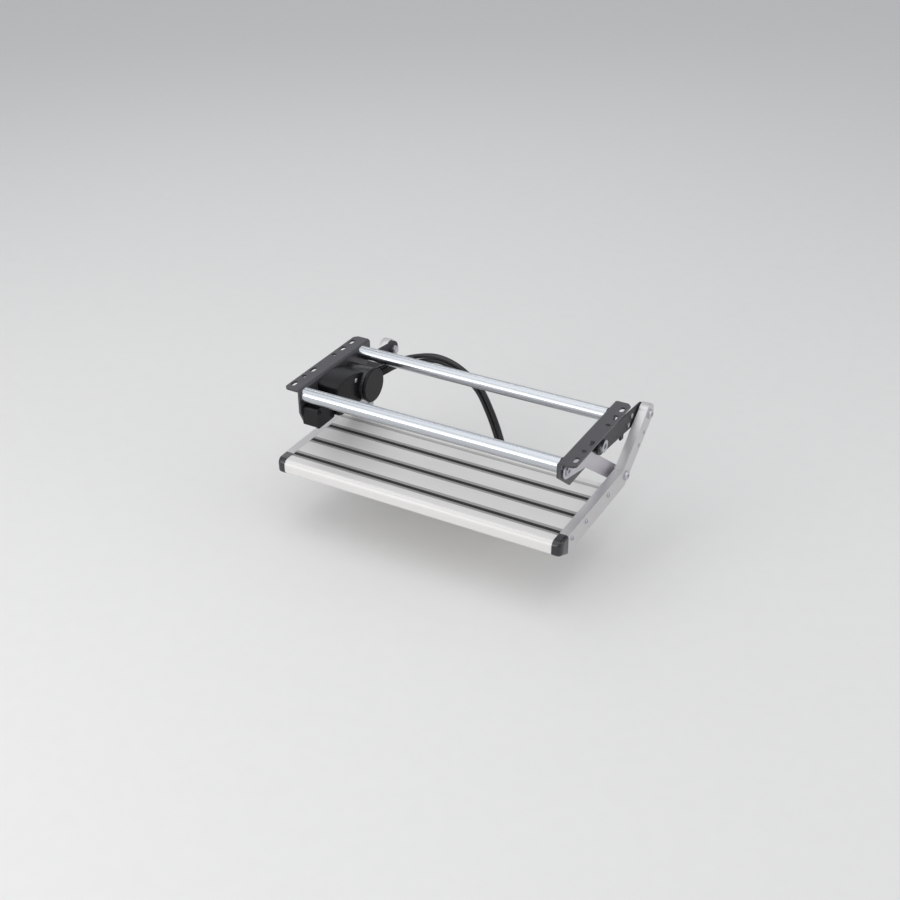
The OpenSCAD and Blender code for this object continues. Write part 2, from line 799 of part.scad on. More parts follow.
module rear_link(main_hole_r) {
    color(link_dark) difference() {
        along_x(rear_x0, rear_x1) {
            bar_2d(rear_pivot, upper_pivot, rear_link_r, rear_link_r);
            polygon([for (p = [[0, -tab_h], [tab_w, -tab_h], [tab_w, tab_root], [0, tab_root]])
                on_rear_link([tab_along + p[0], p[1] - rear_link_r])]);
        }
        pin_x(rear_pivot, rear_x0 - 1, rear_x1 + 1, main_hole_r);
        pin_x(upper_pivot, rear_x0 - 1, rear_x1 + 1, bush_r + seat_fit);
        for (p = link_screw_places) pin_x(on_rear_link(p), rear_x0 - 1, rear_x1 + 1, screw_r + seat_fit);
    }
}

module right_rear_link() {
    rear_link(main_bush_r + seat_fit);
}

module left_rear_link() {
    left() rear_link(main_pin_r + seat_fit);
}

link_screw_head_h = 2;
module link_screws() {
    color(zinc) both_sides() for (p = link_screw_places) {
        pin_x(on_rear_link(p), rear_x0, rear_x1 + eps, screw_r);
        hex_x(on_rear_link(p), rear_x1, rear_x1 + link_screw_head_h, screw_head_r);
    }
}

module upper_bushes() {
    color(plastic_black) both_sides() {
        ring_x(upper_pivot, rear_x0, rear_x1 + eps, bush_r, pin_r + run_fit);
        ring_x(upper_pivot, rear_x1, arm_x - end_gap, bush_r + bush_wall, pin_r + run_fit);
    }
}

// Front links: pale bent flat bars
module front_link() {
    color(link_pale) difference() {
        along_x(front_x0, front_x1) {
            bar_2d(front_pivot, elbow, front_link_r, front_link_r);
            bar_2d(elbow, lower_pivot, front_link_r, front_link_r);
        }
        pin_x(front_pivot, front_x0 - 1, front_x1 + 1, bush_r + seat_fit);
        pin_x(lower_pivot, front_x0 - 1, front_x1 + 1, pin_r + seat_fit);
    }
}

module right_front_link() {
    front_link();
}

module left_front_link() {
    left() front_link();
}

module front_bushes() {
    color(plastic_black) both_sides() ring_x(front_pivot, front_x0, front_x1, bush_r, pin_r + run_fit);
}

// Lower pivot, left open: the stud stays in the link and the bolt in the arm
module lower_pivot_studs() {
    color(zinc) both_sides() {
        pin_x(lower_pivot, front_x0 - eps, front_x1, pin_r);
        pin_x(lower_pivot, front_x0 - stud_head_h, front_x0, stud_head_r);
    }
}

head_taper = 0.75;
module domed_head(p, x, r, h) {
    rim_h = h / 2;
    difference() {
        union() {
            pin_x(p, x, x + rim_h, r);
            translate([x + rim_h - eps, p[0], p[1]]) rotate([0, 90, 0])
                cylinder(h = h - rim_h, r1 = r, r2 = r * head_taper);
        }
        hex_x(p, x + h - socket_h, x + h + 1, socket_r);
    }
}

module lower_pivot_bolts() {
    color(zinc) both_sides() {
        domed_head(lower_pivot, arm_out, bolt_head_r, bolt_head_h);
        pin_x(lower_pivot, arm_x - eps, arm_out + eps, pin_r);
        pin_x(lower_pivot, front_x1 + side_gap, arm_x, pin_r + sleeve_wall);
    }
}

module upper_pivot_bolts() {
    color(zinc) both_sides() {
        domed_head(upper_pivot, arm_out, bolt_head_r, bolt_head_h);
        pin_x(upper_pivot, rear_x0 - end_gap - nut_h - thread_out, arm_out + eps, pin_r);
    }
}

module upper_pivot_nuts() {
    x1 = rear_x0 - end_gap;
    color(zinc) both_sides() difference() {
        hex_x(upper_pivot, x1 - nut_h, x1, nut_w);
        pin_x(upper_pivot, x1 - nut_h - 1, x1 + 1, pin_r + seat_fit);
    }
}

// Side arms: solid beside the tread, pocketed on the inside behind the bend
arm_end_extra = 1;
pocket_start = 30;
boss_wall = 6;
rivet_r = 2.4;
rivet_head_r = 4;
rivet_head_h = 1.2;
rivet_places = [[75, -9], [103, -9]];
arm_dir = [cos(arm_rise), sin(arm_rise)];
function on_arm(p) = bend + p[0] * arm_dir + p[1] * [-arm_dir[1], arm_dir[0]];
function arm_screw_at(u) = [nose_y + u, tread_top - port_down];

module arm_2d() {
    translate([arm_front_y, bend[1] - arm_r]) square([bend[0] - arm_front_y, arm_h]);
    translate(bend) circle(arm_r);
    polygon([on_arm([0, arm_r]), on_arm([0, -arm_r]), on_arm([arm_reach, -arm_r]), on_arm([arm_reach, arm_r])]);
    translate(upper_pivot) circle(arm_r + arm_end_extra);
}

module side_arm() {
    pocket_r = arm_r - arm_wall;
    color(arm_grey) difference() {
        along_x(arm_x, arm_out) arm_2d();
        difference() {
            along_x(arm_x - 1, arm_out - arm_wall)
                bar_2d(on_arm([pocket_start, 0]), upper_pivot, pocket_r, pocket_r);
            pin_x(upper_pivot, arm_x - 2, arm_out, pin_r + boss_wall);
            pin_x(lower_pivot, arm_x - 2, arm_out, pin_r + boss_wall);
            for (p = rivet_places) pin_x(on_arm(p), arm_x - 2, arm_out, rivet_r + boss_wall / 2);
        }
        for (p = [lower_pivot, upper_pivot]) pin_x(p, arm_x - 1, arm_out + 1, pin_r + seat_fit);
        for (u = ports) pin_x(arm_screw_at(u), arm_x - 1, arm_out + 1, screw_r + screw_clear);
        for (p = rivet_places) pin_x(on_arm(p), arm_x - 1, arm_out + 1, rivet_r + seat_fit);
    }
}

module right_side_arm() {
    side_arm();
}

module left_side_arm() {
    left() side_arm();
}

// Corner cap's outline: the nose grown by cap_proud, sloping down to the arm's deeper section
cap_steps = 12;
module cap_2d() {
    low = [nose_low_r, nose_low_r - tread_t];
    low_r = nose_low_r + cap_proud;
    heel = [cap_len, -arm_h - cap_proud];
    slope = atan2(low[1] - low_r - heel[1], heel[0] - low[0]);
    polygon(concat(
        [for (i = [0:cap_steps]) rim([nose_top_r, -nose_top_r], nose_top_r + cap_proud, 90 + 90 * i / cap_steps)],
        [for (i = [0:cap_steps]) rim(low, low_r, 180 + (90 - slope) * i / cap_steps)],
        [heel, [cap_len, cap_proud]]));
}

module corner_cap() {
    color(plastic_black) along_x(arm_x, arm_out + cap_proud) translate([nose_y, tread_top]) cap_2d();
}

module right_corner_cap() {
    corner_cap();
}

module left_corner_cap() {
    left() corner_cap();
}

arm_screw_len = 30;
module arm_screws() {
    color(zinc) both_sides() for (u = ports) difference() {
        union() {
            pin_x(arm_screw_at(u), arm_out, arm_out + screw_head_h, screw_head_r);
            pin_x(arm_screw_at(u), arm_x - arm_screw_len, arm_out + eps, screw_r);
        }
        hex_x(arm_screw_at(u), arm_out + screw_head_h / 2, arm_out + screw_head_h + 1, screw_r * socket_share);
    }
}

module arm_rivets() {
    color(zinc) both_sides() for (p = rivet_places) {
        pin_x(on_arm(p), arm_x, arm_out + eps, rivet_r);
        pin_x(on_arm(p), arm_out, arm_out + rivet_head_h, rivet_head_r);
    }
}

// Tread: hollow extrusion with a round nose, bevelled grip grooves and screw ports
module groove_2d(u, w, deep, flat) {
    polygon([[u - w / 2, 1], [u - w / 2, 0], [u - flat, -deep], [u + flat, -deep], [u + w / 2, 0], [u + w / 2, 1]]);
}

// Nose section from its front edge, grown all round by proud
module nose_2d(depth, height, proud) {
    top_r = nose_top_r + proud;
    low_r = nose_low_r + proud;
    translate([nose_top_r, -nose_top_r]) circle(top_r);
    translate([nose_low_r, nose_low_r - height]) circle(low_r);
    translate([-proud, nose_low_r - height]) square([depth + proud, height - nose_low_r - nose_top_r]);
    translate([nose_top_r, -nose_top_r - eps]) square([depth - nose_top_r, top_r + eps]);
    translate([nose_low_r, -height - proud]) square([depth - nose_low_r, low_r + eps]);
}

module chamber_2d(u0, u1) {
    translate([u0 + skin_t / 2, skin_t - tread_t]) square([u1 - u0 - skin_t, tread_t - skin_t - top_t]);
}

module tread_2d() {
    difference() {
        nose_2d(tread_depth, tread_t, 0);
        difference() {
            union() {
                chamber_2d(nose_wall - skin_t / 2, ribs[0]);
                for (i = [1:len(ribs) - 1]) chamber_2d(ribs[i - 1], ribs[i]);
            }
            for (u = ports) translate([u, -port_down]) circle(port_r);
        }
        for (u = ports) translate([u, -port_down]) circle(screw_r + seat_fit);
        for (u = grooves) groove_2d(u, groove_w, groove_depth, strip_w / 2 + strip_clear);
        for (a = nose_line_angles)
            translate(rim([nose_top_r, -nose_top_r], nose_top_r, a)) circle(nose_line_r, $fn = 16);
        groove_2d(tread_depth - rear_line, rear_line_w, rear_line_depth, rear_line_depth);
    }
}

module tread_plate() {
    color(tread_grey) translate([0, nose_y, tread_top]) along_x(-arm_x, arm_x) tread_2d();
}

module grip_strips() {
    color(rubber_black) translate([0, nose_y, tread_top]) along_x(strip_short - arm_x, arm_x - strip_short)
        for (u = grooves) translate([u - strip_w / 2, -groove_depth]) difference() {
            square([strip_w, strip_h]);
            for (k = [1, 2]) translate([k * strip_w / 3, strip_h]) circle(0.5, $fn = 16);
        }
}

echo(rear_pivot = rear_pivot, front_pivot = front_pivot, upper_pivot = upper_pivot, lower_pivot = lower_pivot);
echo(travel = travel, rear_swing = rear_swing, front_swing = front_swing, ratio = front_swing / rear_swing);
echo(motor_gap = apart(motor_hank_path), switch_gap = apart(switch_hank_path));
echo(motor_len_m = (route_len(motor_path) + route_len(motor_hank_path)) / 1000,
    switch_len_m = (route_len(switch_path) + route_len(switch_hank_path)) / 1000);

left_bracket();
right_bracket();
front_crossbar();
rear_crossbar();
crossbar_screws();
motor_housing();
motor_end_cap();
gear_cover();
cover_screws();
output_shaft();
control_box();
control_box_lid();
lid_screws();
lead_glands();
motor_lead();
motor_lead_hank();
motor_plug();
switch_lead();
switch_lead_hank();
switch_plug();
hank_ties();
front_pivot_studs();
right_pivot_bolt();
right_pivot_nut();
right_pivot_spacer();
left_rear_link();
right_rear_link();
right_pivot_bush();
upper_bushes();
link_screws();
left_front_link();
right_front_link();
front_bushes();
lower_pivot_studs();
tread_plate();
grip_strips();
left_side_arm();
right_side_arm();
left_corner_cap();
right_corner_cap();
arm_screws();
arm_rivets();
lower_pivot_bolts();
upper_pivot_bolts();
upper_pivot_nuts();
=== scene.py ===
import math

import bmesh
import bpy
from mathutils import Matrix, Vector


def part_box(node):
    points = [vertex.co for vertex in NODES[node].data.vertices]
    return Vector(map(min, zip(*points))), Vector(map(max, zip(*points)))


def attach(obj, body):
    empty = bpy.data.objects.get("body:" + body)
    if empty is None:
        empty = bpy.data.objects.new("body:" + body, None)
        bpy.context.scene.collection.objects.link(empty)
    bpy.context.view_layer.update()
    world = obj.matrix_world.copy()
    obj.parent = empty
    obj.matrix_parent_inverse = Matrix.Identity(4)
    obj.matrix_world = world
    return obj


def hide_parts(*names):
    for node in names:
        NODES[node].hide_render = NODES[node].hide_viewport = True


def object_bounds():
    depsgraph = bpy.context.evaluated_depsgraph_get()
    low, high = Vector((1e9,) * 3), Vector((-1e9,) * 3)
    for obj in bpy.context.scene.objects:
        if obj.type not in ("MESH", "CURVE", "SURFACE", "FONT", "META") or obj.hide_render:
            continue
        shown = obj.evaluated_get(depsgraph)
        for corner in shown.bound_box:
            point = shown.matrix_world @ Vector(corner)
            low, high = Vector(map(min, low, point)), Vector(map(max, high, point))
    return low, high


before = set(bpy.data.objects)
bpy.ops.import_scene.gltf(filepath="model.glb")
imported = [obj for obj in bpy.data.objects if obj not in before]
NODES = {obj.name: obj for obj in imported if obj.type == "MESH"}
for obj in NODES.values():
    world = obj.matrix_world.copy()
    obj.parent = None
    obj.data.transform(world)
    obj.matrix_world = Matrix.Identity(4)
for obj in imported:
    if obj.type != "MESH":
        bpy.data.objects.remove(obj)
CAD_LOW, CAD_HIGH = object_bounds()

bl_info = {
    "name": "Swing-out entrance step",
    "version": (1, 0, 0),
    "blender": (4, 5, 0),
    "location": "3D View > Sidebar > Step",
    "description": "Dresses the packed entrance step with finishes, leads, fasteners and a studio",
    "category": "Object",
}

MM = 0.001

# Routes of the two leads from gland to floor, as in the part's source, in millimetres,
# with X measured from the left web's inner face
WEB_FACE = -259.8
MOTOR_ROUTE = (
    (40.8, 112, -42), (50.8, 122, -36.5), (59.8, 132, -33), (69, 142, -30),
    (80, 149.5, -26.5), (92.5, 152.5, -22.5), (106, 153, -18), (122, 153, -13.3),
    (139, 153, -10.5), (156, 153, -10.8), (173, 153, -14), (190, 153, -20),
    (208, 153, -30), (228, 153, -45), (245, 153, -64), (261, 153, -94.5),
    (274.5, 153, -126), (285, 153, -157), (294.5, 152, -186.5), (303.8, 150, -214),
    (305.8, 149, -227), (300.2, 148, -248), (284.8, 148, -263.4), (263.8, 148, -269),
    (249.8, 148, -269),
)
SWITCH_ROUTE = (
    (56.8, 112, -42), (66.8, 122, -36.5), (76, 132, -34.5), (85.5, 141.5, -33.5),
    (96.5, 148.5, -32), (108.5, 152.5, -28), (124, 153, -23.5), (139, 153, -20.8),
    (154, 153, -20.9), (170, 153, -24), (185, 153, -29), (201.5, 153, -38.2),
    (220.5, 153, -52), (236.5, 153, -70.2), (251.5, 153, -99), (264.5, 153, -129.5),
    (275, 153, -160.5), (283.5, 147, -188), (290.8, 138, -214), (292.8, 134, -227),
    (287.2, 129, -248), (271.8, 126.5, -263.4), (250.8, 126, -269), (237.8, 126, -269),
)
# Hanks: width in lead diameters, gap between one loop and the next, X of the right end in
# millimetres, and the tail as X from there and how far it has come down from the top loop
HANK_WIDE = 6
HANK_GAP = 0.5 * MM
HANK_RIGHT = WEB_FACE + 224.8
HANK_TAIL = ((22, 0), (45, 0.3), (70, 0.8), (87, 1), (99, 1))

# Fastener seats as (Y, Z) in millimetres, and the X of the faces that carry them
ARM_SCREW_SEATS = ((-101, -145), (-42.5, -145), (53, -145))
ARM_RIVET_SEATS = ((191, -113.2), (213.6, -96.8))
COVER_SCREW_SEATS = ((16.6, -23), (-36, -42), (-4, -61))
LID_SCREW_SEATS = ((-92, -41), (-53, -66))
ARM_FACE = 292
LID_FACE = -225.8

# Fastener heads as shares of the head's height: upright side, crown, sunk drive;
# and the crown's upper radius as a share of the head's
HEAD_SIDE = 0.45
HEAD_CROWN = 0.4
DRIVE_DEPTH = 0.6
CROWN_RADIUS = 0.82
HEAD_WELD = 0.01 * MM

# Tread section in millimetres: nose, top, thickness, its radii, and the grip grooves,
# with the fade of the painted shade at a groove's flank and the strength of the painted shade on
# the rear line
NOSE_Y = -147
TREAD_TOP = -131
TREAD_THICK = 27.5
NOSE_TOP_R = 10
NOSE_LOW_R = 6
FIRST_GROOVE_Y = -112.5
GROOVE_PITCH = 58.6
GROOVE_WIDE = 22
REAR_LINE_Y = 48
REAR_LINE_WIDE = 10
FLANK_FADE = 1
LINE_SHADE = 0.8

# Corner caps: millimetres proud of the tread, degrees from the nose's front to the
# sloping underside, and the least cosine that a corner is mitred by
CAP_PROUD = 0.8
UNDER_TURN = 66
MITRE_LEAST = 0.2

# Gear cover in millimetres: an arched top that falls away from the web, upright ends and a
# nearly flat underside, each ring a blend of these bounds round the cover's middle, with the
# motor's round body cut out of it
COVER_MIDDLE = (7, -38)
COVER_ARCH_Y = -10
COVER_ARCH_R = 130
COVER_TOP_AT_WEB = -3.2
COVER_TOP_AT_FACE = -6.6
COVER_ENDS = (-45, 58)
COVER_UNDER = (7, 224)
COVER_UNDER_R = 300
COVER_FACE = -216
COVER_EDGE = 2
COVER_BLEND = 24
COVER_POINTS = 96
MOTOR_AXIS = (59, -50)
MOTOR_CLEAR = 34.5
MOTOR_CUT = 4 * (COVER_FACE - WEB_FACE)

# Steps that curves are drawn in
LEAD_STEPS = 6
RUN_STEPS = 18
FOLD_STEPS = 15
TAIL_STEPS = 4
CAP_RIM_STEPS = 12
CAP_ARC_STEPS = 8
COVER_RIM_STEPS = 4
HEAD_SIDES = 24
SHEATH_ROUNDING = 4

# Edges: reach of the weld, largest turn of a flat seam, least turn of an eased edge, segments of
# its rounding, and the least turns that are shaded sharp
WELD_REACH = 0.005 * MM
FLAT_SEAM = math.radians(0.5)
EASED_TURN = math.radians(40)
EASED_SEGMENTS = 2
SHARP_TURN = math.radians(38)
CAP_SHARP_TURN = math.radians(50)

# Grain of the finishes: noise roughness, the span that most of a noise lies in, the usual detail,
# and how much lighter a sheath's pale tone is
GRAIN_ROUGHNESS = 0.55
GRAIN_LOW, GRAIN_HIGH = 0.3, 0.7
GRAIN_DETAIL = 4.0
SHEATH_DETAIL = 3.0
SHEATH_LIFT = 1.6

# Camera and studio: sensor in millimetres, view distance in metres, air, and each light's
# place and size in metres and its watts
SENSOR_WIDE = 36
VIEW_END = 100
AIR_COLOUR = "#EEF1F5"
AIR_STRENGTH = 0.62
LIGHTS = (
    ("overhead_softbox", (-0.2, -0.4, 2.6), (3.4, 2.8), 26),
    ("rear_strip", (-1.5, 2.1, 1.5), (2.8, 0.3), 3),
    ("front_softbox", (-1.0, -2.5, 1.2), (3.8, 2.4), 30),
    ("right_softbox", (2.6, 0.6, 0.6), (1.8, 1.2), 10),
    ("key_softbox", (-1.25, -2.75, 0.65), (1.4, 0.8), 9),
)


class StepLeads(bpy.types.PropertyGroup):
    """Sizes of the two sheathed leads"""

    diameter: bpy.props.FloatProperty(
        name="Diameter", description="Over the sheath", default=9.5 * MM, unit="LENGTH")
    hank_run: bpy.props.FloatProperty(
        name="Hank run", description="Length of a hank's straight runs", default=150 * MM,
        unit="LENGTH")
    hank_waist: bpy.props.FloatProperty(
        name="Hank waist", description="How far the tie draws each run in", default=16 * MM,
        unit="LENGTH")
    loops: bpy.props.IntProperty(
        name="Loops", description="Loops in each hank", default=2, min=1, max=3)
    colour: bpy.props.FloatVectorProperty(
        name="Sheath", description="Colour of the sheath", size=3, subtype="COLOR",
        default=(0.012, 0.012, 0.013))


class StepFasteners(bpy.types.PropertyGroup):
    """Sizes of the small fastener heads"""

    screw_radius: bpy.props.FloatProperty(
        name="Screw head radius", description="Pan head screws", default=4.5 * MM, unit="LENGTH")
    screw_height: bpy.props.FloatProperty(
        name="Screw head height", description="Pan head screws", default=2.2 * MM, unit="LENGTH")
    screw_socket: bpy.props.FloatProperty(
        name="Socket radius", description="Sunk drive in a pan head", default=2.1 * MM,
        unit="LENGTH")
    rivet_radius: bpy.props.FloatProperty(
        name="Rivet head radius", description="Blind rivets of the arms", default=4 * MM,
        unit="LENGTH")
    rivet_height: bpy.props.FloatProperty(
        name="Rivet head height", description="Blind rivets of the arms", default=1.2 * MM,
        unit="LENGTH")
    rivet_eye: bpy.props.FloatProperty(
        name="Rivet eye radius", description="Hole left by the pulled mandrel", default=1.3 * MM,
        unit="LENGTH")


class StepEdges(bpy.types.PropertyGroup):
    """Rounding of the edges that the solids leave sharp"""

    sheet: bpy.props.FloatProperty(
        name="Sheet metal", description="Edges of brackets and links", default=0.7 * MM,
        unit="LENGTH")
    section: bpy.props.FloatProperty(
        name="Sections", description="Edges of the side arms", default=0.8 * MM, unit="LENGTH")
    moulded: bpy.props.FloatProperty(
        name="Mouldings", description="Edges of the drive's housings", default=1.5 * MM,
        unit="LENGTH")
    cap: bpy.props.FloatProperty(
        name="Corner caps", description="Outer rim of the corner caps", default=5 * MM,
        unit="LENGTH")
    corner: bpy.props.FloatProperty(
        name="Corner in plan", description="Rounding of the caps' outer corner seen from above",
        default=10 * MM, unit="LENGTH")


class StepStage(bpy.types.PropertyGroup):
    """Camera, floor and light"""

    lens: bpy.props.FloatProperty(
        name="Lens", description="Focal length on a 36 mm sensor", default=53.78, unit="CAMERA")
    place: bpy.props.FloatVectorProperty(
        name="Place", description="Where the camera stands", size=3, subtype="TRANSLATION",
        default=(1.04488, -1.84666, 1.17572))
    azimuth: bpy.props.FloatProperty(
        name="Azimuth", description="Turn of the camera round the step",
        default=math.radians(29.5835), unit="ROTATION")
    elevation: bpy.props.FloatProperty(
        name="Elevation", description="Camera's view below the horizon",
        default=math.radians(31.1357), unit="ROTATION")
    roll: bpy.props.FloatProperty(
        name="Roll", description="Turn about the line of sight", default=math.radians(-0.6186),
        unit="ROTATION")
    floor_size: bpy.props.FloatProperty(
        name="Floor size", description="Side of the square floor", default=60.0, unit="LENGTH")
    light: bpy.props.FloatProperty(
        name="Light", description="Factor on all studio lights", default=1.0, min=0.0, max=4.0,
        subtype="FACTOR")


def srgb(code):
    """Linear colour of an sRGB hex value"""
    parts = [int(code[i:i + 2], 16) / 255 for i in (1, 3, 5)]
    return tuple(c / 12.92 if c <= 0.04045 else ((c + 0.055) / 1.055) ** 2.4
                 for c in parts) + (1.0,)


def add(tree, kind, inputs=None, **settings):
    """A node of a kind, with its settings, and its inputs set or linked"""
    node = tree.nodes.new(kind)
    for key, value in settings.items():
        setattr(node, key, value)
    for key, value in (inputs or {}).items():
        if isinstance(value, bpy.types.NodeSocket):
            tree.links.new(value, node.inputs[key])
        else:
            node.inputs[key].default_value = value
    return node


def per_metre(size_mm):
    """Noise scale whose grains are about that many millimetres wide"""
    return 1000 / size_mm


def bare_finish(name, **sockets):
    """A material with only its shader, and the shader's constants"""
    material = bpy.data.materials.new(name)
    material.use_nodes = True
    tree = material.node_tree
    shader = tree.nodes["Principled BSDF"]
    for key, value in sockets.items():
        shader.inputs[key.replace("_", " ")].default_value = value
    return material, tree, shader


def tone_and_grain(tree, shader, grain, tones, rough, relief, drawn_out=1, detail=GRAIN_DETAIL):
    """Links one noise to a shader: two tones, a span of roughness and a relief; gives the tone.
    Grain and relief are in millimetres. Drawn out along X, the grain becomes lines."""
    vector = add(tree, "ShaderNodeTexCoord").outputs["Object"]
    if drawn_out != 1:
        vector = add(tree, "ShaderNodeMapping", {
            "Vector": vector, "Scale": (1 / drawn_out, 1, 1)}).outputs[0]
    noise = add(tree, "ShaderNodeTexNoise", {
        "Vector": vector, "Scale": per_metre(grain), "Detail": detail,
        "Roughness": GRAIN_ROUGHNESS}).outputs["Fac"]
    dark, pale = tones
    tone = add(tree, "ShaderNodeMix", {0: noise, 6: srgb(dark), 7: srgb(pale)}, data_type="RGBA")
    gloss = add(tree, "ShaderNodeMapRange", {
        "Value": noise, "From Min": GRAIN_LOW, "From Max": GRAIN_HIGH,
        "To Min": rough[0], "To Max": rough[1]})
    bump = add(tree, "ShaderNodeBump", {"Height": noise, "Strength": 1.0, "Distance": relief * MM})
    tree.links.new(tone.outputs[2], shader.inputs["Base Color"])
    tree.links.new(gloss.outputs[0], shader.inputs["Roughness"])
    tree.links.new(bump.outputs[0], shader.inputs["Normal"])
    return tone.outputs[2]


def grained_finish(name, grain, tones, rough, relief, **sockets):
    """A material with one even grain and nothing else"""
    material, tree, shader = bare_finish(name, **sockets)
    tone_and_grain(tree, shader, grain, tones, rough, relief)
    return material


def matt_anodised_extrusion():
    # Matt natural anodising on an extrusion: a pale, even, slightly warm grey with die lines along
    # its length. Painted shade: a darker grey on the flanks of the grip grooves and along the rear
    # line. Die lines are 0.1 to 0.5 mm apart; drawn 3 mm apart so that they show at this
    # distance.
    material, tree, shader = bare_finish("matt_anodised_aluminium_extrusion", Metallic=0.2)
    tone = tone_and_grain(
        tree, shader, grain=3, tones=("#DEDCDA", "#E8E6E4"), rough=(0.42, 0.52), relief=0.03,
        drawn_out=40)
    place = add(tree, "ShaderNodeSeparateXYZ", {
        0: add(tree, "ShaderNodeTexCoord").outputs["Object"]})
    y = place.outputs["Y"]
    # Painted shade: masks for the flanks of the grip grooves and for the rear line
    along = add(tree, "ShaderNodeMath", {0: y, 1: FIRST_GROOVE_Y * MM}, operation="SUBTRACT")
    from_groove = add(tree, "ShaderNodeMath", {
        0: along.outputs[0], 1: GROOVE_PITCH / 2 * MM}, operation="PINGPONG")
    before_rear = add(tree, "ShaderNodeMath", {
        0: y, 1: (REAR_LINE_Y - REAR_LINE_WIDE) * MM}, operation="LESS_THAN")
    from_line = add(tree, "ShaderNodeMath", {0: y, 1: REAR_LINE_Y * MM}, operation="SUBTRACT")
    off_line = add(tree, "ShaderNodeMath", {0: from_line.outputs[0]}, operation="ABSOLUTE")
    flank = add(tree, "ShaderNodeMapRange", {
        "Value": from_groove.outputs[0], "From Min": (GROOVE_WIDE / 2 - FLANK_FADE) * MM,
        "From Max": GROOVE_WIDE / 2 * MM, "To Min": 1.0, "To Max": 0.0})
    grooves = add(tree, "ShaderNodeMath", {
        0: flank.outputs[0], 1: before_rear.outputs[0]}, operation="MULTIPLY")
    line = add(tree, "ShaderNodeMapRange", {
        "Value": off_line.outputs[0], "From Min": (REAR_LINE_WIDE / 2 - FLANK_FADE) * MM,
        "From Max": REAR_LINE_WIDE / 2 * MM, "To Min": LINE_SHADE, "To Max": 0.0})
    painted_shade = add(tree, "ShaderNodeMath", {
        0: grooves.outputs[0], 1: line.outputs[0]}, operation="MAXIMUM")
    # Mixes the painted shade's darker grey into the tone
    shaded_tone = add(tree, "ShaderNodeMix", {
        0: painted_shade.outputs[0], 6: tone, 7: srgb("#A3A19F")}, data_type="RGBA")
    tree.links.new(shaded_tone.outputs[2], shader.inputs["Base Color"])
    return material


def blasted_anodised_arm():
    # Anodised flat bar bent to shape: pale lilac grey, finely blasted, no direction in the grain.
    # Blast grit is 0.2 mm; drawn at 2.5 mm as soft clouding.
    return grained_finish(
        "blasted_anodised_aluminium", grain=2.5, tones=("#CFCDCE", "#DAD8D9"), rough=(0.40, 0.48),
        relief=0.02, Metallic=0.85)


def bright_drawn_bar():
    # Bright anodised round bar: mirror-like across, with drawing lines along its length that break
    # up reflections. The lines are 0.2 mm apart; drawn 6 mm apart, as the streaks that they make
    # together.
    material, tree, shader = bare_finish("bright_anodised_drawn_aluminium", Metallic=1.0)
    tone_and_grain(
        tree, shader, grain=6, tones=("#B4B8BE", "#D2D5D9"), rough=(0.20, 0.28), relief=0.006,
        drawn_out=400, detail=0.0)
    return material


def charcoal_powder_coat():
    # Powder coat on folded steel: satin charcoal with a soft orange peel about 1.5 mm across,
    # drawn at 2.5 mm so that it shows.
    return grained_finish(
        "charcoal_powder_coated_steel", grain=2.5, tones=("#3E3D42", "#474649"), rough=(0.30, 0.40),
        relief=0.06, IOR=1.5)


def moulded_housing_plastic():
    # Glass-filled nylon from a spark-eroded mould: satin black with an even fine grain, 0.5 mm,
    # drawn at 2 mm so that it shows.
    return grained_finish(
        "moulded_black_nylon", grain=2, tones=("#101012", "#171719"), rough=(0.32, 0.42),
        relief=0.04, IOR=1.53, Specular_IOR_Level=0.26)


def black_can_enamel():
    # Stoved enamel on the motor's drawn steel can: satin black with wide soft highlights and a
    # slow waviness, 12 mm.
    return grained_finish(
        "stoved_black_enamel", grain=12, tones=("#202022", "#29292B"), rough=(0.24, 0.32),
        relief=0.03, IOR=1.52)


def polished_cap_plastic():
    # ABS from a polished mould: glossy black with crisp highlights, a faint slow waviness 20 mm
    # across.
    return grained_finish(
        "polished_black_abs", grain=20, tones=("#18181B", "#202025"), rough=(0.16, 0.24),
        relief=0.05, IOR=1.54, Coat_Weight=0.3, Coat_Roughness=0.08)


def zinc_plate():
    # Bright zinc plate on steel: blue-white metal with a mottled passivation, patches about 3 mm.
    return grained_finish(
        "zinc_plated_steel", grain=3, tones=("#A9ACB2", "#CBCDD0"), rough=(0.22, 0.36),
        relief=0.02, Metallic=1.0)


def black_zinc_plate():
    # Black passivated zinc on steel: near-black with a dull sheen in patches about 3 mm, so the
    # lid's screws hardly show.
    return grained_finish(
        "black_zinc_plated_steel", grain=3, tones=("#1A1A1D", "#26262A"), rough=(0.38, 0.50),
        relief=0.02, Metallic=0.6)


def dark_phosphate_link():
    # Phosphated and oiled steel strip: near-black, because the crystals hide most of the metal,
    # with a cloudy bloom. Crystals are 0.02 mm; drawn at 3 mm, as the clouds that they make.
    return grained_finish(
        "phosphated_steel_strip", grain=3, tones=("#1B1B1F", "#29292E"), rough=(0.30, 0.42),
        relief=0.03, Metallic=0.15, Specular_IOR_Level=0.35)


def pale_zinc_nickel():
    # Matt zinc-nickel plate on steel: pale lilac grey, soft sheen, clouding 2.5 mm across as drawn.
    return grained_finish(
        "zinc_nickel_plated_steel", grain=2.5, tones=("#C4C1C7", "#D4D1D7"), rough=(0.34, 0.44),
        relief=0.03, Metallic=0.8)


def grip_rubber():
    # Extruded EPDM: near-black, dull, with a chalky bloom in patches about 4 mm.
    return grained_finish(
        "extruded_epdm_rubber", grain=4, tones=("#1E1E20", "#29292B"), rough=(0.60, 0.75),
        relief=0.05, IOR=1.52)


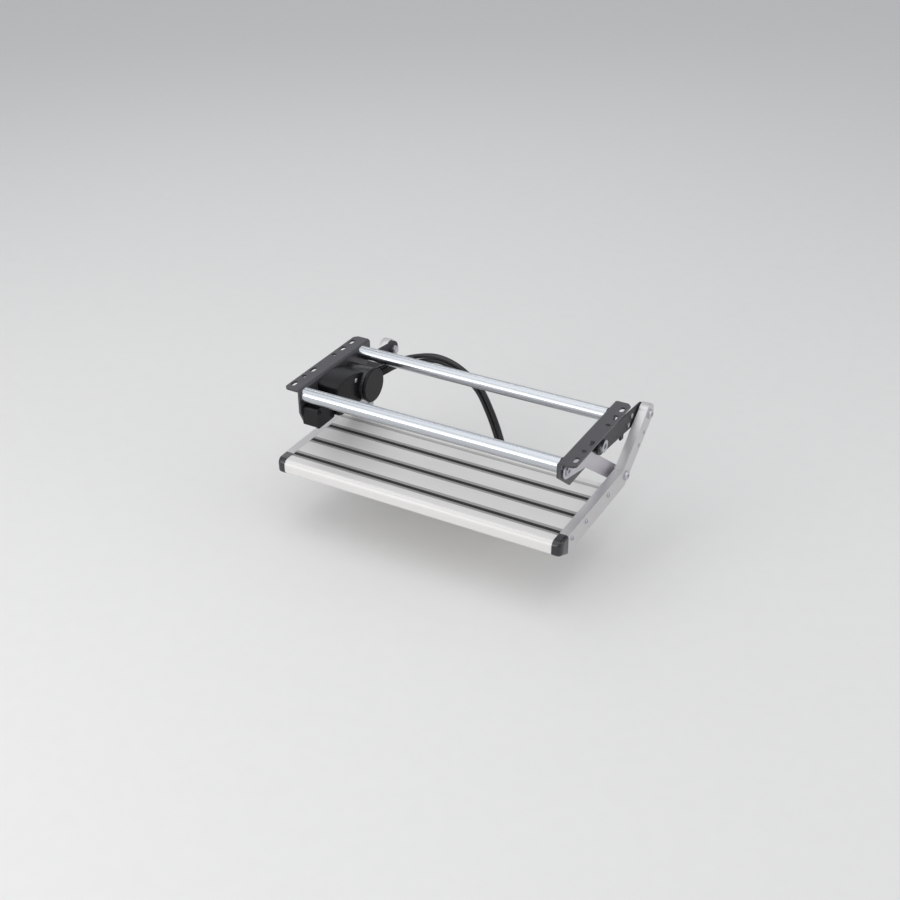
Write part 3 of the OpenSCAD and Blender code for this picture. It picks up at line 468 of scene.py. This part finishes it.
def lead_sheath(colour):
    # Soft PVC sheath: black satin, smooth, with long highlights and a faint unevenness about 8 mm
    # long.
    material, tree, shader = bare_finish("soft_pvc_sheath", IOR=1.54)
    noise = add(tree, "ShaderNodeTexNoise", {
        "Vector": add(tree, "ShaderNodeTexCoord").outputs["Object"], "Scale": per_metre(8),
        "Detail": SHEATH_DETAIL}).outputs["Fac"]
    pale = tuple(SHEATH_LIFT * c for c in colour) + (1.0,)
    tone = add(tree, "ShaderNodeMix", {
        0: noise, 6: tuple(colour) + (1.0,), 7: pale}, data_type="RGBA")
    gloss = add(tree, "ShaderNodeMapRange", {
        "Value": noise, "From Min": GRAIN_LOW, "From Max": GRAIN_HIGH,
        "To Min": 0.30, "To Max": 0.40})
    tree.links.new(tone.outputs[2], shader.inputs["Base Color"])
    tree.links.new(gloss.outputs[0], shader.inputs["Roughness"])
    return material


def floor_paint():
    # Matt wall paint: pale, even, with a barely seen roller texture, drawn at 30 mm.
    return grained_finish(
        "matt_floor_paint", grain=30, tones=("#E4E3E1", "#E8E7E5"), rough=(0.80, 0.90),
        relief=0.05, IOR=1.5)


FINISHES = {}


def finish_of(maker):
    """The one material that a maker gives, made the first time it is asked for"""
    if maker not in FINISHES:
        FINISHES[maker] = maker()
    return FINISHES[maker]


def dress(maker, *names):
    """Gives CAD nodes a finish"""
    for name in names:
        piece = NODES[name]
        if not piece.material_slots:
            piece.data.materials.append(finish_of(maker))
        for place in piece.material_slots:
            place.link = "OBJECT"
            place.material = finish_of(maker)


def ease_edges(width, *names):
    """Rounds the sharp edges of CAD nodes: joins triangles, clears flat seams, bevels the rest"""
    for name in names:
        piece = NODES[name]
        piece.modifiers.new("Join triangles", "WELD").merge_threshold = WELD_REACH
        clear = piece.modifiers.new("Clear flat seams", "DECIMATE")
        clear.decimate_type = "DISSOLVE"
        clear.angle_limit = FLAT_SEAM
        bevel = piece.modifiers.new("Ease edges", "BEVEL")
        bevel.width = width
        bevel.segments = EASED_SEGMENTS
        bevel.limit_method = "ANGLE"
        bevel.angle_limit = EASED_TURN
        bevel.use_clamp_overlap = True


def put_in_scene(name, data):
    """A new object for a mesh, curve, light or camera"""
    thing = bpy.data.objects.new(name, data)
    bpy.context.scene.collection.objects.link(thing)
    return thing


def mesh_from(name, shape):
    """A mesh made from a bmesh, which is then freed"""
    mesh = bpy.data.meshes.new(name)
    shape.to_mesh(mesh)
    shape.free()
    return mesh


def shade(mesh, turn):
    """Smooth shading, apart from edges that turn more than that"""
    mesh.shade_smooth()
    mesh.set_sharp_from_angle(angle=turn)


def plain_mesh(piece):
    """Turns a piece's modifiers into its mesh"""
    graph = bpy.context.evaluated_depsgraph_get()
    mesh = bpy.data.meshes.new_from_object(piece.evaluated_get(graph), depsgraph=graph)
    if not mesh.polygons:
        raise RuntimeError("no faces were made for " + piece.name)
    piece.modifiers.clear()
    piece.data = mesh
    shade(mesh, SHARP_TURN)


def smoothed(points, steps):
    """Points on one smooth (Catmull-Rom) curve through the given ones"""
    first = 2 * points[0] - points[1]
    last = 2 * points[-1] - points[-2]
    row = [first] + points + [last]
    out = []
    for a, b, c, d in zip(row, row[1:], row[2:], row[3:]):
        for k in range(steps):
            t = k / steps
            out.append(0.5 * (2 * b + (c - a) * t + (2 * a - 5 * b + 4 * c - d) * t ** 2
                              + (3 * b - a - 3 * c + d) * t ** 3))
    return out + [points[-1]]


def hank_points(start, way, sizes):
    """Runs, folds and tail of a tied hank, from where its lead reaches the floor"""
    right = HANK_RIGHT * MM
    left = right - sizes.hank_run
    wide = HANK_WIDE * sizes.diameter
    rise = sizes.diameter + HANK_GAP
    fold = wide / 2

    def at(x, across, z):
        return Vector((x, start.y + way * across, z))

    def on_run(k):
        """X of a step of a run, and how far the tie draws the run in there"""
        waist = sizes.hank_waist * (1 - math.cos(2 * math.pi * k / RUN_STEPS)) / 2
        return right - sizes.hank_run * k / RUN_STEPS, waist

    out = []
    for loop in range(sizes.loops):
        z = start.z + loop * rise
        for k in range(RUN_STEPS + 1):
            x, waist = on_run(k)
            out.append(at(x, waist, z))
        for k in range(1, FOLD_STEPS):
            a = math.pi * k / FOLD_STEPS
            out.append(at(left - fold * math.sin(a), fold * (1 - math.cos(a)), z))
        for k in range(RUN_STEPS, -1, -1):
            x, waist = on_run(k)
            out.append(at(x, wide - waist, z + rise * (1 - k / RUN_STEPS)))
        if loop < sizes.loops - 1:
            for k in range(1, FOLD_STEPS):
                a = math.pi * k / FOLD_STEPS
                out.append(at(right + fold * math.sin(a), fold * (1 + math.cos(a)), z + rise))
    climb = sizes.loops * rise
    tail = [at(right + x * MM, wide, start.z + climb - climb * down) for x, down in HANK_TAIL]
    return out + smoothed([out[-1]] + tail, TAIL_STEPS)[1:]


def cap_outline(back, bottom):
    """Side view of a corner cap as (Y, Z) in metres: top edge, nose, underside, back edge"""
    out = [(back, (TREAD_TOP + CAP_PROUD) * MM)]
    for y, z, radius, start, sweep in (
        (NOSE_Y + NOSE_TOP_R, TREAD_TOP - NOSE_TOP_R, NOSE_TOP_R, 90, 90),
        (NOSE_Y + NOSE_LOW_R, TREAD_TOP - TREAD_THICK + NOSE_LOW_R, NOSE_LOW_R, 180, UNDER_TURN),
    ):
        for k in range(CAP_ARC_STEPS + 1):
            a = math.radians(start + sweep * k / CAP_ARC_STEPS)
            out.append(((y + (radius + CAP_PROUD) * math.cos(a)) * MM,
                        (z + (radius + CAP_PROUD) * math.sin(a)) * MM))
    return out + [(back, bottom)]


def drawn_in(outline, inset, back):
    """An outline moved inwards, apart from its back edge, which stays against the arm"""
    points = [Vector(p) for p in outline]
    count = len(points)
    out = []
    for k in range(count):
        before = points[k] - points[k - 1]
        after = points[(k + 1) % count] - points[k]
        normals = [Vector((-edge.y, edge.x)).normalized() for edge in (before, after)]
        if k == 0:
            out.append((back, points[k].y + inset * normals[1].y))
        elif k == count - 1:
            out.append((back, points[k].y + inset / max(MITRE_LEAST, normals[0].y)))
        else:
            mid = (normals[0] + normals[1]).normalized()
            moved = points[k] + mid * inset / max(MITRE_LEAST, mid.dot(normals[0]))
            out.append((moved.x, moved.y))
    return out


def ray_to_circle(way, centre, radius):
    """How far a ray from the gear cover's middle runs to a circle that holds it"""
    start = Vector(COVER_MIDDLE) - Vector(centre)
    along = start.dot(way)
    return math.sqrt(along ** 2 - start.length_squared + radius ** 2) - along


def cover_outline(top, inset):
    """Side view of the gear cover at one ring, as (Y, Z) in millimetres"""
    out = []
    for k in range(COVER_POINTS):
        # Half a step on, so that no ray runs straight up
        turn = 2 * math.pi * (k + 0.5) / COVER_POINTS
        way = Vector((math.cos(turn), math.sin(turn)))
        bounds = (
            ray_to_circle(way, (COVER_ARCH_Y, top - COVER_ARCH_R), COVER_ARCH_R),
            ray_to_circle(way, COVER_UNDER, COVER_UNDER_R),
            (COVER_ENDS[way.x > 0] - COVER_MIDDLE[0]) / way.x,
        )
        reach = sum(bound ** -COVER_BLEND for bound in bounds) ** (-1 / COVER_BLEND) - inset
        out.append(tuple(Vector(COVER_MIDDLE) + reach * way))
    return out


def joined_rings(rows):
    """A closed mesh through rows of points, with a face over each end"""
    shape = bmesh.new()
    rings = [[shape.verts.new(point) for point in row] for row in rows]
    count = len(rings[0])
    for first, second in zip(rings, rings[1:]):
        for k in range(count):
            after = (k + 1) % count
            shape.faces.new((first[k], first[after], second[after], second[k]))
    shape.faces.new(rings[0])
    shape.faces.new(rings[-1])
    bmesh.ops.recalc_face_normals(shape, faces=shape.faces)
    return shape


def head_tree():
    """Geometry nodes for round heads with a sunk drive, one on each point, facing along X"""
    tree = bpy.data.node_groups.new("Fastener heads", "GeometryNodeTree")
    sockets = tree.interface
    sockets.new_socket("Seats", in_out="INPUT", socket_type="NodeSocketGeometry")
    for name in ("Head radius", "Head height", "Drive radius", "Drive depth"):
        sockets.new_socket(name, in_out="INPUT", socket_type="NodeSocketFloat")
    sockets.new_socket("Finish", in_out="INPUT", socket_type="NodeSocketMaterial")
    sockets.new_socket("Heads", in_out="OUTPUT", socket_type="NodeSocketGeometry")
    given = add(tree, "NodeGroupInput").outputs
    wall_height, crown_height, top_height = (
        add(tree, "ShaderNodeMath", {0: given["Head height"], 1: share}, operation="MULTIPLY")
        for share in (HEAD_SIDE, HEAD_CROWN, 1 - HEAD_SIDE - HEAD_CROWN))
    drive_share = add(tree, "ShaderNodeMath", {
        0: given["Drive radius"], 1: given["Head radius"]}, operation="DIVIDE")
    drive_scale = add(tree, "ShaderNodeMath", {
        0: drive_share.outputs[0], 1: CROWN_RADIUS}, operation="DIVIDE")
    sunk = add(tree, "ShaderNodeMath", {0: given["Drive depth"], 1: -1.0}, operation="MULTIPLY")
    disc = add(tree, "GeometryNodeMeshCircle", {
        "Vertices": HEAD_SIDES, "Radius": given["Head radius"]}, fill_type="NGON")
    wall = add(tree, "GeometryNodeExtrudeMesh", {
        "Mesh": disc.outputs[0], "Offset Scale": wall_height.outputs[0]})
    dome = add(tree, "GeometryNodeExtrudeMesh", {
        "Mesh": wall.outputs[0], "Selection": wall.outputs["Top"],
        "Offset Scale": crown_height.outputs[0]})
    crown = add(tree, "GeometryNodeScaleElements", {
        "Geometry": dome.outputs[0], "Selection": dome.outputs["Top"], "Scale": CROWN_RADIUS})
    face = add(tree, "GeometryNodeExtrudeMesh", {
        "Mesh": crown.outputs[0], "Selection": dome.outputs["Top"],
        "Offset Scale": top_height.outputs[0]})
    eye = add(tree, "GeometryNodeScaleElements", {
        "Geometry": face.outputs[0], "Selection": face.outputs["Top"],
        "Scale": drive_scale.outputs[0]})
    drive = add(tree, "GeometryNodeExtrudeMesh", {
        "Mesh": eye.outputs[0], "Selection": face.outputs["Top"],
        "Offset Scale": sunk.outputs[0]})
    back = add(tree, "GeometryNodeFlipFaces", {"Mesh": disc.outputs[0]})
    whole = add(tree, "GeometryNodeJoinGeometry")
    tree.links.new(drive.outputs[0], whole.inputs[0])
    tree.links.new(back.outputs[0], whole.inputs[0])
    closed = add(tree, "GeometryNodeMergeByDistance", {
        "Geometry": whole.outputs[0], "Distance": HEAD_WELD})
    facing = add(tree, "GeometryNodeInputNamedAttribute", {"Name": "facing"}, data_type="FLOAT")
    angle = add(tree, "ShaderNodeMath", {
        0: facing.outputs[0], 1: math.pi / 2}, operation="MULTIPLY")
    turn = add(tree, "ShaderNodeCombineXYZ", {"Y": angle.outputs[0]})
    turned = add(tree, "FunctionNodeEulerToRotation", {0: turn.outputs[0]})
    set_on = add(tree, "GeometryNodeInstanceOnPoints", {
        "Points": given["Seats"], "Instance": closed.outputs[0], "Rotation": turned.outputs[0]})
    real = add(tree, "GeometryNodeRealizeInstances", {0: set_on.outputs[0]})
    finished = add(tree, "GeometryNodeSetMaterial", {
        "Geometry": real.outputs[0], "Material": given["Finish"]})
    add(tree, "NodeGroupOutput", {0: finished.outputs[0]})
    return tree


def head_sizes(radius, height, drive):
    """Inputs of the heads' tree for one kind of fastener"""
    return {"Head radius": radius, "Head height": height, "Drive radius": drive,
            "Drive depth": DRIVE_DEPTH * height}


def on_arms(seats):
    """Seats on the outer faces of both arms"""
    return [(Vector((way * ARM_FACE, y, z)) * MM, way) for way in (-1, 1) for y, z in seats]


def on_drive(face, seats):
    """Seats on a face of the drive, which looks to the right"""
    return [(Vector((face, y, z)) * MM, 1) for y, z in seats]


def set_heads(name, seats, sizes, finish, node, body):
    """Fastener heads on seats of (point, facing), in place of a CAD node"""
    mesh = bpy.data.meshes.new(name)
    mesh.from_pydata([point for point, _ in seats], [], [])
    facing = mesh.attributes.new("facing", "FLOAT", "POINT")
    facing.data.foreach_set("value", [float(way) for _, way in seats])
    piece = put_in_scene(name, mesh)
    tree = bpy.data.node_groups.get("Fastener heads") or head_tree()
    modifier = piece.modifiers.new("Heads", "NODES")
    modifier.node_group = tree
    values = dict(sizes, Finish=finish_of(finish))
    for socket in tree.interface.items_tree:
        if socket.in_out == "INPUT" and socket.name in values:
            modifier[socket.identifier] = values[socket.name]
    plain_mesh(piece)
    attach(piece, body)
    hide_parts(node)


class STEP_OT_camera(bpy.types.Operator):
    """Sets the camera at the photograph's angle"""

    bl_idname = "entrance_step.camera"
    bl_label = "Camera"

    def execute(self, context):
        stage = context.scene.entrance_step_stage
        data = bpy.data.cameras.new("studio_camera")
        data.lens = stage.lens
        data.sensor_width = SENSOR_WIDE
        data.clip_end = VIEW_END
        camera = put_in_scene("studio_camera", data)
        camera.matrix_world = (
            Matrix.Translation(stage.place)
            @ Matrix.Rotation(stage.azimuth, 4, "Z")
            @ Matrix.Rotation(math.pi / 2 - stage.elevation, 4, "X")
            @ Matrix.Rotation(stage.roll, 4, "Z")
        )
        context.scene.camera = camera
        return {"FINISHED"}


class STEP_OT_leads(bpy.types.Operator):
    """Lays the motor lead and the switch lead, each ending in a tied hank and its plug"""

    bl_idname = "entrance_step.leads"
    bl_label = "Leads"

    def execute(self, context):
        sizes = context.scene.entrance_step_leads
        sheath = lead_sheath(sizes.colour)
        dress(moulded_housing_plastic, "motor_plug", "switch_plug")
        dress(grip_rubber, "lead_glands", "hank_ties")
        for name, route, way, pieces in (
            ("motor_lead", MOTOR_ROUTE, 1, ("motor_plug", "hank_ties")),
            ("switch_lead", SWITCH_ROUTE, -1, ("switch_plug",)),
        ):
            points = [Vector((x + WEB_FACE, y, z)) * MM for x, y, z in route]
            path = smoothed(points, LEAD_STEPS) + hank_points(points[-1], way, sizes)
            curve = bpy.data.curves.new(name + "_sheath", "CURVE")
            curve.dimensions = "3D"
            curve.bevel_depth = sizes.diameter / 2
            curve.bevel_resolution = SHEATH_ROUNDING
            curve.use_fill_caps = True
            spline = curve.splines.new("POLY")
            spline.points.add(len(path) - 1)
            for knot, point in zip(spline.points, path):
                knot.co = (*point, 1)
            spline.use_smooth = True
            curve.materials.append(sheath)
            lead = put_in_scene(name + "_sheath", curve)
            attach(lead, "frame")
            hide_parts(name, name + "_hank")
        return {"FINISHED"}


class STEP_OT_frame(bpy.types.Operator):
    """Finishes the brackets and the crossbars"""

    bl_idname = "entrance_step.frame"
    bl_label = "Brackets and crossbars"

    def execute(self, context):
        brackets = ("left_bracket", "right_bracket")
        dress(charcoal_powder_coat, *brackets)
        dress(bright_drawn_bar, "front_crossbar", "rear_crossbar")
        ease_edges(context.scene.entrance_step_edges.sheet, *brackets)
        return {"FINISHED"}


class STEP_OT_drive(bpy.types.Operator):
    """Finishes the motor and the control box"""

    bl_idname = "entrance_step.drive"
    bl_label = "Drive"

    def execute(self, context):
        mouldings = ("motor_end_cap", "control_box", "control_box_lid")
        dress(black_can_enamel, "motor_housing")
        dress(moulded_housing_plastic, *mouldings)
        ease_edges(context.scene.entrance_step_edges.moulded, "motor_housing", *mouldings)
        return {"FINISHED"}


class STEP_OT_cover(bpy.types.Operator):
    """Moulds the gear cover with its arched top, cut round the motor"""

    bl_idname = "entrance_step.cover"
    bl_label = "Gear cover"

    def execute(self, context):
        rings = [(WEB_FACE, 0.0)]
        for k in range(COVER_RIM_STEPS + 1):
            a = math.pi / 2 * k / COVER_RIM_STEPS
            rings.append((COVER_FACE - COVER_EDGE * (1 - math.sin(a)),
                          COVER_EDGE * (1 - math.cos(a))))
        rows = []
        for x, inset in rings:
            share = (x - WEB_FACE) / (COVER_FACE - WEB_FACE)
            top = COVER_TOP_AT_WEB + share * (COVER_TOP_AT_FACE - COVER_TOP_AT_WEB)
            rows.append([Vector((x, y, z)) * MM for y, z in cover_outline(top, inset)])
        round_cut = bmesh.new()
        place = Vector((COVER_FACE, *MOTOR_AXIS)) * MM
        bmesh.ops.create_cone(
            round_cut, cap_ends=True, segments=COVER_POINTS, radius1=MOTOR_CLEAR * MM,
            radius2=MOTOR_CLEAR * MM, depth=MOTOR_CUT * MM,
            matrix=Matrix.Translation(place) @ Matrix.Rotation(math.pi / 2, 4, "Y"))
        cover, cutter = (
            put_in_scene(name, mesh_from(name, shape)) for name, shape in (
                ("gear_cover_moulding", joined_rings(rows)), ("motor_round_cut", round_cut)))
        cut = cover.modifiers.new("Motor", "BOOLEAN")
        cut.operation = "DIFFERENCE"
        cut.solver = "EXACT"
        cut.object = cutter
        plain_mesh(cover)
        bpy.data.objects.remove(cutter)
        cover.data.materials.clear()
        cover.data.materials.append(finish_of(moulded_housing_plastic))
        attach(cover, "frame")
        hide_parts("gear_cover")
        return {"FINISHED"}


class STEP_OT_links(bpy.types.Operator):
    """Finishes the swing links and their bushes"""

    bl_idname = "entrance_step.links"
    bl_label = "Links"

    def execute(self, context):
        rear_links = ("left_rear_link", "right_rear_link")
        front_links = ("left_front_link", "right_front_link")
        dress(dark_phosphate_link, *rear_links)
        dress(pale_zinc_nickel, *front_links)
        dress(moulded_housing_plastic, "right_pivot_bush", "upper_bushes", "front_bushes")
        ease_edges(context.scene.entrance_step_edges.sheet, *rear_links, *front_links)
        return {"FINISHED"}


class STEP_OT_tread(bpy.types.Operator):
    """Finishes the tread plate, its grip strips and the side arms"""

    bl_idname = "entrance_step.tread"
    bl_label = "Tread and arms"

    def execute(self, context):
        arms = ("left_side_arm", "right_side_arm")
        dress(matt_anodised_extrusion, "tread_plate")
        dress(grip_rubber, "grip_strips")
        dress(blasted_anodised_arm, *arms)
        ease_edges(context.scene.entrance_step_edges.section, *arms)
        return {"FINISHED"}


class STEP_OT_caps(bpy.types.Operator):
    """Moulds the two corner caps, rounded at their rim and in plan"""

    bl_idname = "entrance_step.caps"
    bl_label = "Corner caps"

    def execute(self, context):
        edges = context.scene.entrance_step_edges
        for side, way in (("left", -1), ("right", 1)):
            node = side + "_corner_cap"
            low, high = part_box(node)
            outline = cap_outline(high.y, low.z)
            inner, outer = (low.x, high.x) if way > 0 else (high.x, low.x)
            rows = [[(inner, y, z) for y, z in outline]]
            for k in range(CAP_RIM_STEPS + 1):
                a = math.pi / 2 * k / CAP_RIM_STEPS
                from_face = edges.corner * (1 - math.sin(a))
                shorter = 1 - edges.corner * (1 - math.cos(a)) / (high.y - low.y)
                in_rim = max(0.0, edges.cap - from_face)
                inset = edges.cap - math.sqrt(edges.cap ** 2 - in_rim ** 2)
                rows.append([(outer - way * from_face, high.y - (high.y - y) * shorter, z)
                             for y, z in drawn_in(outline, inset, high.y)])
            name = side + "_moulded_cap"
            cap = put_in_scene(name, mesh_from(name, joined_rings(rows)))
            shade(cap.data, CAP_SHARP_TURN)
            cap.data.materials.append(finish_of(polished_cap_plastic))
            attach(cap, "tread")
            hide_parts(node)
        return {"FINISHED"}


class STEP_OT_fasteners(bpy.types.Operator):
    """Sets screw and rivet heads, and plates the bolts, studs and nuts"""

    bl_idname = "entrance_step.fasteners"
    bl_label = "Fasteners"

    def execute(self, context):
        given = context.scene.entrance_step_fasteners
        dress(zinc_plate, "output_shaft", "right_pivot_bolt", "right_pivot_nut",
              "right_pivot_spacer", "front_pivot_studs", "lower_pivot_studs", "upper_pivot_nuts",
              "link_screws", "crossbar_screws")
        dress(pale_zinc_nickel, "lower_pivot_bolts", "upper_pivot_bolts")
        screw = head_sizes(given.screw_radius, given.screw_height, given.screw_socket)
        rivet = head_sizes(given.rivet_radius, given.rivet_height, given.rivet_eye)
        for name, seats, sizes, finish, node, body in (
            ("arm_screw_heads", on_arms(ARM_SCREW_SEATS),
             screw, zinc_plate, "arm_screws", "tread"),
            ("arm_rivet_heads", on_arms(ARM_RIVET_SEATS),
             rivet, zinc_plate, "arm_rivets", "tread"),
            ("cover_screw_heads", on_drive(COVER_FACE, COVER_SCREW_SEATS),
             screw, zinc_plate, "cover_screws", "frame"),
            ("lid_screw_heads", on_drive(LID_FACE, LID_SCREW_SEATS),
             screw, black_zinc_plate, "lid_screws", "frame"),
        ):
            set_heads(name, seats, sizes, finish, node, body)
        return {"FINISHED"}


class STEP_OT_stage(bpy.types.Operator):
    """Lays the floor and hangs the studio lights"""

    bl_idname = "entrance_step.stage"
    bl_label = "Stage"

    def execute(self, context):
        stage = context.scene.entrance_step_stage
        half = stage.floor_size / 2
        mesh = bpy.data.meshes.new("studio_floor")
        corners = ((-half, -half), (half, -half), (half, half), (-half, half))
        mesh.from_pydata([(x, y, CAD_LOW.z) for x, y in corners], [], [(0, 1, 2, 3)])
        mesh.materials.append(floor_paint())
        put_in_scene("studio_floor", mesh)
        centre = (CAD_LOW + CAD_HIGH) / 2
        for name, place, size, watts in LIGHTS:
            data = bpy.data.lights.new(name, "AREA")
            data.shape = "RECTANGLE"
            data.size, data.size_y = size
            data.energy = watts * stage.light
            light = put_in_scene(name, data)
            light.location = place
            to_step = centre - Vector(place)
            light.rotation_euler = to_step.to_track_quat("-Z", "Y").to_euler()
        world = bpy.data.worlds.new("studio_air")
        world.use_nodes = True
        air = world.node_tree.nodes["Background"]
        air.inputs["Color"].default_value = srgb(AIR_COLOUR)
        air.inputs["Strength"].default_value = AIR_STRENGTH * stage.light
        context.scene.world = world
        context.scene.view_settings.view_transform = "Standard"
        return {"FINISHED"}


class STEP_PT_panel(bpy.types.Panel):
    """Lists the step's pieces and sizes"""

    bl_idname = "STEP_PT_panel"
    bl_label = "Entrance step"
    bl_space_type = "VIEW_3D"
    bl_region_type = "UI"
    bl_category = "Step"

    def draw(self, context):
        for operator in OPERATORS:
            self.layout.operator(operator.bl_idname)
        for name, group in GROUPS.items():
            settings = getattr(context.scene, name)
            for key in group.__annotations__:
                self.layout.prop(settings, key)


OPERATORS = (
    STEP_OT_camera, STEP_OT_leads, STEP_OT_frame, STEP_OT_drive, STEP_OT_cover, STEP_OT_links,
    STEP_OT_tread, STEP_OT_caps, STEP_OT_fasteners, STEP_OT_stage,
)
GROUPS = {
    "entrance_step_leads": StepLeads,
    "entrance_step_fasteners": StepFasteners,
    "entrance_step_edges": StepEdges,
    "entrance_step_stage": StepStage,
}


def register():
    for group in (*GROUPS.values(), *OPERATORS, STEP_PT_panel):
        bpy.utils.register_class(group)
    for name, group in GROUPS.items():
        setattr(bpy.types.Scene, name, bpy.props.PointerProperty(type=group))


def unregister():
    for name in GROUPS:
        delattr(bpy.types.Scene, name)
    for group in reversed((*GROUPS.values(), *OPERATORS, STEP_PT_panel)):
        bpy.utils.unregister_class(group)


def main():
    register()
    bpy.ops.entrance_step.camera()
    bpy.ops.entrance_step.leads()
    bpy.ops.entrance_step.frame()
    bpy.ops.entrance_step.drive()
    bpy.ops.entrance_step.cover()
    bpy.ops.entrance_step.links()
    bpy.ops.entrance_step.tread()
    bpy.ops.entrance_step.caps()
    bpy.ops.entrance_step.fasteners()
    bpy.ops.entrance_step.stage()


if __name__ == "__main__":
    main()
